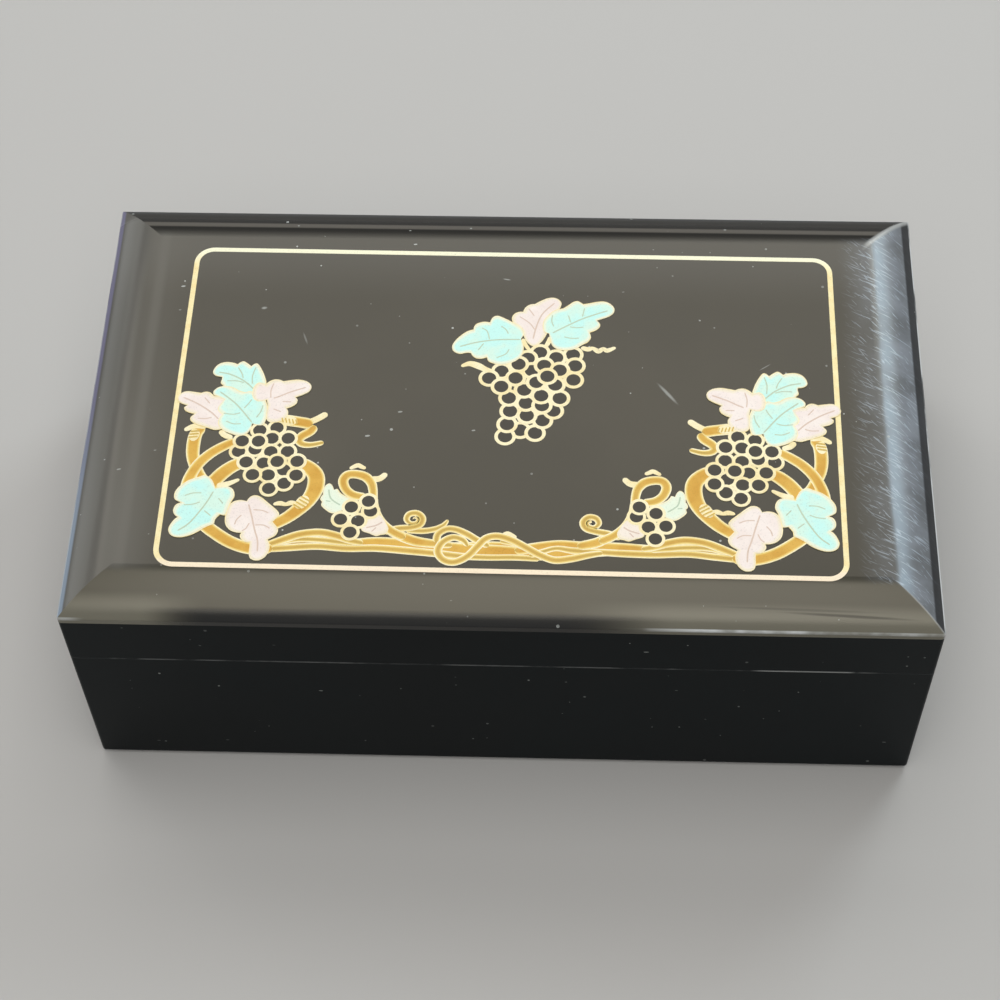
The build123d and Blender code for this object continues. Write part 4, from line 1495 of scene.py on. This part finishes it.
    def moved_in(self, edge: list[Vector], midrib: list[Vector], depth: float) -> list[Vector]:
        """Moves a leaf's outline inwards, towards its midrib.

        A point's way leans from the midrib to the outline's inside, and is evened out with its
        neighbours' ways, so that the bands between moved outlines don't fold over at a notch.

        Args:
            edge: The outline's points.
            midrib: Points along the midrib.
            depth: How far they move, less where the midrib is near.

        Returns:
            The moved points.
        """
        pairs = zip(edge, edge[1:] + edge[:1])
        doubled_area = sum(here.x * ahead.y - ahead.x * here.y for here, ahead in pairs)
        turn = math.copysign(1.0, doubled_area)
        ways, steps = [], []
        for index, point in enumerate(edge):
            along = (edge[(index + 1) % len(edge)] - edge[index - 1]).normalized()
            inside = turn * Vector((-along.y, along.x, 0))
            reach = min((place - point for place in midrib), key=lambda way: way.length)
            way = reach.normalized()
            ways.append((way + max(self.leaf_lean - way.dot(inside), 0.0) * inside).normalized())
            steps.append(min(self.leaf_reach * depth / self.leaf_fade * reach.length, depth))
        moved, offsets = [], range(-self.leaf_even, self.leaf_even + 1)
        for index, point in enumerate(edge):
            near = (ways[(index + offset) % len(edge)] for offset in offsets)
            moved.append(point + steps[index] * sum(near, Vector((0, 0, 0))).normalized())
        return moved

    def lay_leaf(
        self, mesh: bmesh.types.BMesh, outlines: list[tuple[list[Vector], float]], height: float
    ) -> None:
        """Lays a leaf's plate.

        Args:
            mesh: The mesh to add to.
            outlines: The plate's outline and those inside it, each with its tone.
            height: The plate's height over the lid's top.
        """
        layer = mesh.verts.layers.float.get(TONE) or mesh.verts.layers.float.new(TONE)
        edge, tone = outlines[0]
        rim = bmesh.ops.create_circle(mesh, cap_ends=True, radius=1.0, segments=len(edge))["verts"]
        face = rim[0].link_faces[0]
        for vert, place in zip(face.verts, edge):
            vert.co = place
            vert[layer] = tone
        faces = [face]
        for places, tone in outlines[1:]:
            band = bmesh.ops.inset_individual(mesh, faces=[face], thickness=0.0)["faces"]
            for vert, place in zip(face.verts, places):
                vert.co = place
                vert[layer] = tone
            faces.extend(band)
        self.raise_faces(mesh, faces, height)

    def lay_veins(self, mesh: bmesh.types.BMesh, leaf: Leaf, height: float) -> None:
        """Lays a leaf's veins, the first of them its midrib."""
        tone = mesh.verts.layers.float.get(TONE) or mesh.verts.layers.float.new(TONE)
        for index, vein in enumerate(leaf.veins):
            width = self.vein / MM * (1.0 if index == 0 else self.side_vein)
            for vert in self.lay_strand(mesh, tuple((x, y, width) for x, y in vein), 0.0, height):
                vert[tone] = -1.0

    def border(self) -> bmesh.types.BMesh:
        """Makes the border line with its round corners."""
        mesh = bmesh.new()
        size = Vector((self.width + self.line, self.depth + self.line, 1))
        corners = bmesh.ops.create_grid(mesh, x_segments=1, y_segments=1, size=0.5)["verts"]
        bmesh.ops.scale(mesh, vec=size, verts=corners)
        bmesh.ops.bevel(
            mesh, geom=corners, offset=self.corner + self.line / 2, segments=self.corner_segments,
            profile=0.5, affect="VERTICES", material=-1,
        )
        inner = list(mesh.faces)
        ring = self.inset(mesh, inner, self.line)
        inside = {vert for face in inner for vert in face.verts}
        wider = (self.side_line - self.line) / 2
        for vert in mesh.verts:
            vert.co.x += math.copysign(-wider if vert in inside else wider, vert.co.x)
        bmesh.ops.delete(mesh, geom=inner, context="FACES_ONLY")
        self.raise_faces(mesh, ring, self.film)
        return mesh

    def draw(self, motif: Motif) -> dict[Slot, bmesh.types.BMesh]:
        """Draws a motif as one mesh for each ink.

        Args:
            motif: The motif.

        Returns:
            The meshes by slot.
        """
        inks = {slot: bmesh.new() for slot in (Slot.GOLD, Slot.VINE, Slot.MINT, Slot.PINK, Slot.LACQUER)}
        radius, line = motif.grape_radius * MM, motif.grape_line * MM
        layers = sorted((*motif.strands, *motif.grapes, *motif.leaves), key=lambda item: item.level)
        for rank, item in enumerate(layers, motif.first_rank):
            under, over = self.top(rank), self.top(rank, self.ink_above)
            if isinstance(item, Strand):
                self.lay_strand(inks[Slot.GOLD], item.points, 0.0, under)
                if item.inked:
                    self.lay_strand(inks[Slot.VINE], item.points, self.outline, over)
            elif isinstance(item, Grape):
                self.lay_disc(inks[Slot.LACQUER], item, radius - line / 2, 0.0, under)
                self.lay_disc(inks[Slot.GOLD], item, radius, line, over)
            else:
                edge, midrib = self.leaf_outline(item), self.smooth(item.veins[0])
                bands = (
                    (self.leaf_edge, 0.0),
                    (self.leaf_line, -self.leaf_shade),
                    (self.leaf_line + self.leaf_edge, self.leaf_light),
                    (self.leaf_fade, item.strength),
                )
                self.lay_leaf(inks[Slot.GOLD], [(edge, 0.0)], under)
                inside = [(self.moved_in(edge, midrib, depth), tone) for depth, tone in bands]
                self.lay_leaf(inks[item.ink], inside, over)
                self.lay_veins(inks[item.ink], item, self.top(rank, self.vein_above))
        last = motif.first_rank + len(layers)
        for start, end in motif.knots:
            stroke = ((*start, self.knot / MM), (*end, self.knot / MM))
            self.lay_strand(inks[Slot.VINE], stroke, 0.0, self.top(last))
        for x, y in motif.dots:
            self.lay_disc(inks[Slot.LACQUER], Grape(x, y, 0), self.dot, 0.0, self.top(last))
        return inks

    def add(self, name: str, mesh: bmesh.types.BMesh, slot: Slot) -> None:
        """Places a drawn mesh on the lid and adds it as a piece.

        Args:
            name: The piece's name.
            mesh: The mesh, in the print's frame, which is freed.
            slot: The ink's slot.
        """
        finish = {
            Slot.GOLD: self.gold, Slot.VINE: self.vine, Slot.MINT: self.mint, Slot.PINK: self.pink,
            Slot.LACQUER: self.dark,
        }[slot]
        if name == "border_line":
            finish = self.edging
        bmesh.ops.recalc_face_normals(mesh, faces=mesh.faces)
        for vert in mesh.verts:
            vert.co = self.placed(vert.co)
        add_piece(name, finished_mesh(name, mesh), finish, Body.LID)

    def build(self) -> None:
        """Prints the border and all motifs."""
        self.add("border_line", self.border(), Slot.GOLD)
        motifs = (
            SPRAY,
            SPRAY.mirrored("right_spray", self.mirror_axis),
            SMALL_BUNCH,
            SMALL_BUNCH.mirrored("right_small_bunch", self.mirror_axis),
            CENTRE_BUNCH,
            VINE,
        )
        for motif in motifs:
            for slot, mesh in self.draw(motif).items():
                if mesh.faces:
                    self.add(f"{motif.name}_{slot.name.lower()}", mesh, slot)
                else:
                    mesh.free()


@dataclass
class RingCushion:
    """Eight padded velvet rolls that hold rings between them."""

    velvet: bpy.types.Material
    count: int = 8
    shrink: float = 0.35 * MM
    shoulder: float = 5.2 * MM
    shoulder_segments: int = 8
    voxel: float = 1.1 * MM
    swell: float = 0.9 * MM
    fill: float = 0.75
    simulation_scale: float = 14.0
    pressure: float = 4.0
    last_frame: int = 20

    def blank(self) -> bpy.types.Object:
        """Makes the first roll's starting shape, a little smaller than its CAD solid.

        Returns:
            The roll.
        """
        low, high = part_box("ring_roll_1")
        size = high - low - Vector((2, 2, 1)) * self.shrink
        mesh = bmesh.new()
        verts = bmesh.ops.create_cube(mesh, size=1.0)["verts"]
        bmesh.ops.scale(mesh, vec=size, verts=verts)
        bmesh.ops.translate(mesh, vec=(low + high) / 2 - Vector((0, 0, self.shrink / 2)), verts=verts)
        upper = [edge for edge in mesh.edges if all(v.co.z > (low.z + high.z) / 2 for v in edge.verts)]
        bmesh.ops.bevel(
            mesh, geom=upper, offset=self.shoulder, segments=self.shoulder_segments, profile=0.5,
            affect="EDGES", material=-1,
        )
        return scene_object("roll_blank", finished_mesh("ring_cushion_roll", mesh))

    def evaluated(self, roll: bpy.types.Object) -> bpy.types.Mesh:
        """Returns a new mesh of the roll with its modifiers applied."""
        graph = bpy.context.evaluated_depsgraph_get()
        return bpy.data.meshes.new_from_object(roll.evaluated_get(graph))

    def inflate(self, roll: bpy.types.Object) -> None:
        """Fills the roll with a cloth simulation and applies it.

        Args:
            roll: The roll, which keeps its seat on the tray's floor.
        """
        low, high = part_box("ring_roll_1")
        remesh = roll.modifiers.new("remesh", "REMESH")
        remesh.mode = "VOXEL"
        remesh.voxel_size = self.voxel
        roll.data = self.evaluated(roll)
        roll.modifiers.clear()
        start = [vert.co.copy() for vert in roll.data.vertices]
        seat = roll.vertex_groups.new(name="seat")
        seat.add([v.index for v in roll.data.vertices if v.co.z < low.z + self.voxel], 1.0, "REPLACE")
        roll.data.transform(Matrix.Scale(self.simulation_scale, 4))
        cloth = roll.modifiers.new("filling", "CLOTH")
        cloth.settings.use_pressure = True
        cloth.settings.uniform_pressure_force = self.pressure
        cloth.settings.vertex_group_mass = seat.name
        cloth.settings.effector_weights.gravity = 0.0
        for step in range(1, self.last_frame + 1):
            bpy.context.scene.frame_set(step)
        roll.data = self.evaluated(roll)
        roll.modifiers.clear()
        roll.data.transform(Matrix.Scale(1 / self.simulation_scale, 4))
        bpy.context.scene.frame_set(1)
        for vert, before in zip(roll.data.vertices, start):
            move = vert.co - before
            vert.co = before + move * min(1.0, self.swell / max(move.length, 1e-9))
            vert.co = Vector(max(a, min(b, c)) for a, b, c in zip(low, high, vert.co))

    def build(self) -> None:
        """Builds the rolls, one simulated and the others copies of it."""
        roll = self.blank()
        self.inflate(roll)
        smooth = roll.modifiers.new("smooth", "SUBSURF")
        smooth.levels = 1
        smooth.render_levels = 1
        shape = self.evaluated(roll)
        bpy.data.objects.remove(roll)
        shape.polygons.foreach_set("use_smooth", [True] * len(shape.polygons))
        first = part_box("ring_roll_1")[0]
        for number in range(1, self.count + 1):
            node = f"ring_roll_{number}"
            mesh = shape.copy()
            mesh.transform(Matrix.Translation(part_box(node)[0] - first))
            piece = add_piece(f"{node}_velvet", mesh, self.velvet, Body.TRAY)
            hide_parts(node)


@dataclass
class Case:
    """The base, the lid and the tray: which finish each CAD node takes."""

    boards: bpy.types.Material
    lid_face: bpy.types.Material
    velvet: bpy.types.Material
    felt: bpy.types.Material
    brass: bpy.types.Material
    mirror: bpy.types.Material

    def dress(self) -> None:
        """Dresses all CAD nodes."""
        sides = ("front", "right", "back", "left")
        dress(self.boards, *(f"base_{side}" for side in sides), "base_bottom")
        dress(self.boards, *(f"lid_{side}" for side in sides))
        dress(self.lid_face, "lid_top")
        dress(self.felt, "base_felt")
        dress(self.velvet, *(f"lining_{side}" for side in sides), "lining_floor")
        dress(self.velvet, *(f"lid_lining_{side}" for side in sides), "mirror_surround")
        dress(self.velvet, *(f"tray_{side}" for side in sides), "tray_floor")
        dress(self.velvet, "tray_divider_rings", "tray_divider_long", "tray_divider_short")
        dress(self.velvet, "tray_liner_back", "tray_liner_front_left", "tray_liner_front_right")
        dress(self.mirror, "mirror")
        hinges = [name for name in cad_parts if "hinge" in name]
        dress(self.brass, *sorted(hinges))


@dataclass
class SoftBox:
    """A rectangular studio lamp that faces the box."""

    name: str
    place: tuple[float, float, float]
    size: tuple[float, float]
    radiance: float
    colour: tuple[float, float, float] = (1.0, 1.0, 1.0)

    def build(self, target: Vector) -> None:
        """Adds the lamp, which the camera doesn't see.

        Args:
            target: The point that it faces.
        """
        lamp = bpy.data.lights.new(self.name, "AREA")
        lamp.shape = "RECTANGLE"
        lamp.size, lamp.size_y = self.size
        lamp.energy = self.radiance * math.pi * self.size[0] * self.size[1]
        lamp.color = self.colour
        holder = scene_object(self.name, lamp)
        holder.location = self.place
        holder.rotation_mode = "QUATERNION"
        holder.rotation_quaternion = (target - Vector(self.place)).to_track_quat("-Z", "Y")
        holder.visible_camera = False


@dataclass
class Studio:
    """The plain floor, the soft lamps and the camera at the photograph's viewing angle."""

    floor_colour: Color = srgb(200, 198, 194)
    floor_size: float = 6.0
    floor_roughness: float = 0.9
    floor_specular: float = 0.1
    world_light: float = 0.2
    background: float = 0.45
    azimuth: float = 3.12
    elevation: float = 56.45
    roll: float = -1.62
    distance: float = 0.6622
    lens: float = 80.08
    sensor: float = 36.0
    clip_start: float = 0.01
    target: tuple[float, float, float] = (-0.0021, -0.0091, 0.045)
    lamps: tuple[SoftBox, ...] = (
        SoftBox("rear_softbox", (-0.12, 0.78, 1.1), (1.7, 0.55), 1.8),
        SoftBox("top_softbox", (0.0, -0.3, 1.15), (0.72, 1.4), 2.4),
        SoftBox("right_window", (0.64, 0.80, 0.86), (0.42, 0.42), 5.5, (0.82, 0.93, 1.0)),
        SoftBox("left_window", (-1.25, 0.75, 0.45), (0.9, 0.7), 1.6, (0.9, 0.95, 1.0)),
    )

    def build_floor(self) -> None:
        """Adds the floor."""
        mesh = bmesh.new()
        bmesh.ops.create_grid(mesh, x_segments=1, y_segments=1, size=self.floor_size / 2)
        floor = scene_object("floor", finished_mesh("floor", mesh))
        graph = Graph("studio_floor")
        graph.surface(
            Base_Color=self.floor_colour, Roughness=self.floor_roughness,
            Specular_IOR_Level=self.floor_specular,
        )
        floor.data.materials.append(graph.material)

    def build_world(self) -> None:
        """Sets the soft light from all round, and a pale background for what is seen or mirrored."""
        world = bpy.data.worlds.new("studio")
        world.use_nodes = True
        bpy.context.scene.world = world
        tree = world.node_tree
        path = tree.nodes.new("ShaderNodeLightPath")
        seen = path.outputs["Is Camera Ray"]
        for kind in ("Is Glossy Ray", "Is Transmission Ray"):
            either = tree.nodes.new("ShaderNodeMath")
            either.operation = "MAXIMUM"
            tree.links.new(seen, either.inputs[0])
            tree.links.new(path.outputs[kind], either.inputs[1])
            seen = either.outputs[0]
        strength = tree.nodes.new("ShaderNodeMapRange")
        strength.inputs["To Min"].default_value = self.world_light
        strength.inputs["To Max"].default_value = self.background
        tree.links.new(seen, strength.inputs["Value"])
        tree.links.new(strength.outputs["Result"], tree.nodes["Background"].inputs["Strength"])
        tree.nodes["Background"].inputs["Color"].default_value = (1.0, 1.0, 1.0, 1.0)

    def build_camera(self) -> None:
        """Adds the camera."""
        turn, rise = math.radians(self.azimuth), math.radians(self.elevation)
        back = Vector((math.sin(turn) * math.cos(rise), -math.cos(turn) * math.cos(rise), math.sin(rise)))
        data = bpy.data.cameras.new("camera")
        data.sensor_width = self.sensor
        data.lens = self.lens
        data.clip_start = self.clip_start
        camera = scene_object("camera", data)
        camera.location = Vector(self.target) + back * self.distance
        camera.rotation_mode = "QUATERNION"
        level = (-back).to_track_quat("-Z", "Y").to_matrix()
        tilt = Matrix.Rotation(math.radians(self.roll), 3, "Z")
        camera.rotation_quaternion = (level @ tilt).to_quaternion()
        bpy.context.scene.camera = camera

    def build(self) -> None:
        """Builds the studio."""
        bpy.context.scene.view_settings.view_transform = "Standard"
        self.build_floor()
        self.build_world()
        for lamp in self.lamps:
            lamp.build(Vector(self.target))
        self.build_camera()


def main() -> None:
    """Builds the box's looks and the studio."""
    logging.basicConfig(level=logging.INFO, format="%(message)s")
    half_width, half_depth = CAD_BOX[1].x, -CAD_BOX[0].y
    boards = BoardLacquer(
        base=srgb(9, 15, 17), haze=srgb(16, 22, 24), roughness=0.34, specular=0.08,
        half_width=half_width, half_depth=half_depth,
    ).material("board_lacquer")
    lid_face = LidLacquer(
        # The lid's base and haze are brownish grey, far lighter than the boards': partly the lacquer's own
        # haze, partly painted reflection over the whole lid.
        base=srgb(44, 42, 34), haze=srgb(54, 51, 42), roughness=0.2, specular=0.5,
        half_width=half_width, half_depth=half_depth,
        scuffs=(
            Scuff(46 * MM, 2 * MM, 11 * MM, 1.3 * MM, -52.0, 0.45),
            Scuff(74 * MM, 12 * MM, 5 * MM, 0.5 * MM, 35.0, 0.3),
            Scuff(-59 * MM, 20 * MM, 5.5 * MM, 0.8 * MM, -70.0, 0.22),
            Scuff(-72 * MM, 31 * MM, 2.2 * MM, 1.2 * MM, 10.0, 0.5),
            Scuff(-1 * MM, 43 * MM, 3 * MM, 0.6 * MM, -10.0, 0.5),
        ),
        # Lines of painted shade in the front bevel's right part.
        shade_lines=(
            Scuff(94 * MM, -68.7 * MM, 44 * MM, 1.0 * MM, -2.0, 0.75),
            Scuff(80 * MM, -67.4 * MM, 56 * MM, 0.9 * MM, -1.0, 0.4),
        ),
    ).material("lid_lacquer")
    velvet = Velvet().material("velvet")
    Case(
        boards=boards, lid_face=lid_face, velvet=velvet, felt=Felt().material("felt"),
        brass=Brass().material("brass"), mirror=MirrorGlass().material("mirror"),
    ).dress()
    VinePrint(
        gold=PrintInk(srgb(254, 242, 200), srgb(248, 230, 174), 0.1).material("gold_ink"),
        edging=BorderInk(
            srgb(253, 238, 184), srgb(249, 228, 166), 0.1, patch_scale=320.0
        ).material("border_ink"),
        vine=VineInk(srgb(230, 182, 78), srgb(218, 164, 60)).material("vine_ink"),
        mint=LeafInk(srgb(206, 254, 244), srgb(222, 252, 234)).material("mint_ink"),
        pink=LeafInk(
            srgb(255, 243, 234), srgb(250, 235, 226), cream=srgb(252, 240, 212), vein=srgb(226, 202, 184)
        ).material("pink_ink"),
        # A darker copy of the lid's lacquer for the insides of the grape rings and the dots, with the same
        # painted reflections and shade by place on the lid.
        dark=LidLacquer(
            base=srgb(13, 12, 10), haze=srgb(20, 19, 16), roughness=0.2, specular=0.5,
            half_width=half_width, half_depth=half_depth,
        ).material("grape_lacquer"),
    ).build()
    RingCushion(velvet=velvet).build()
    Studio().build()


if __name__ == "__main__":
    main()
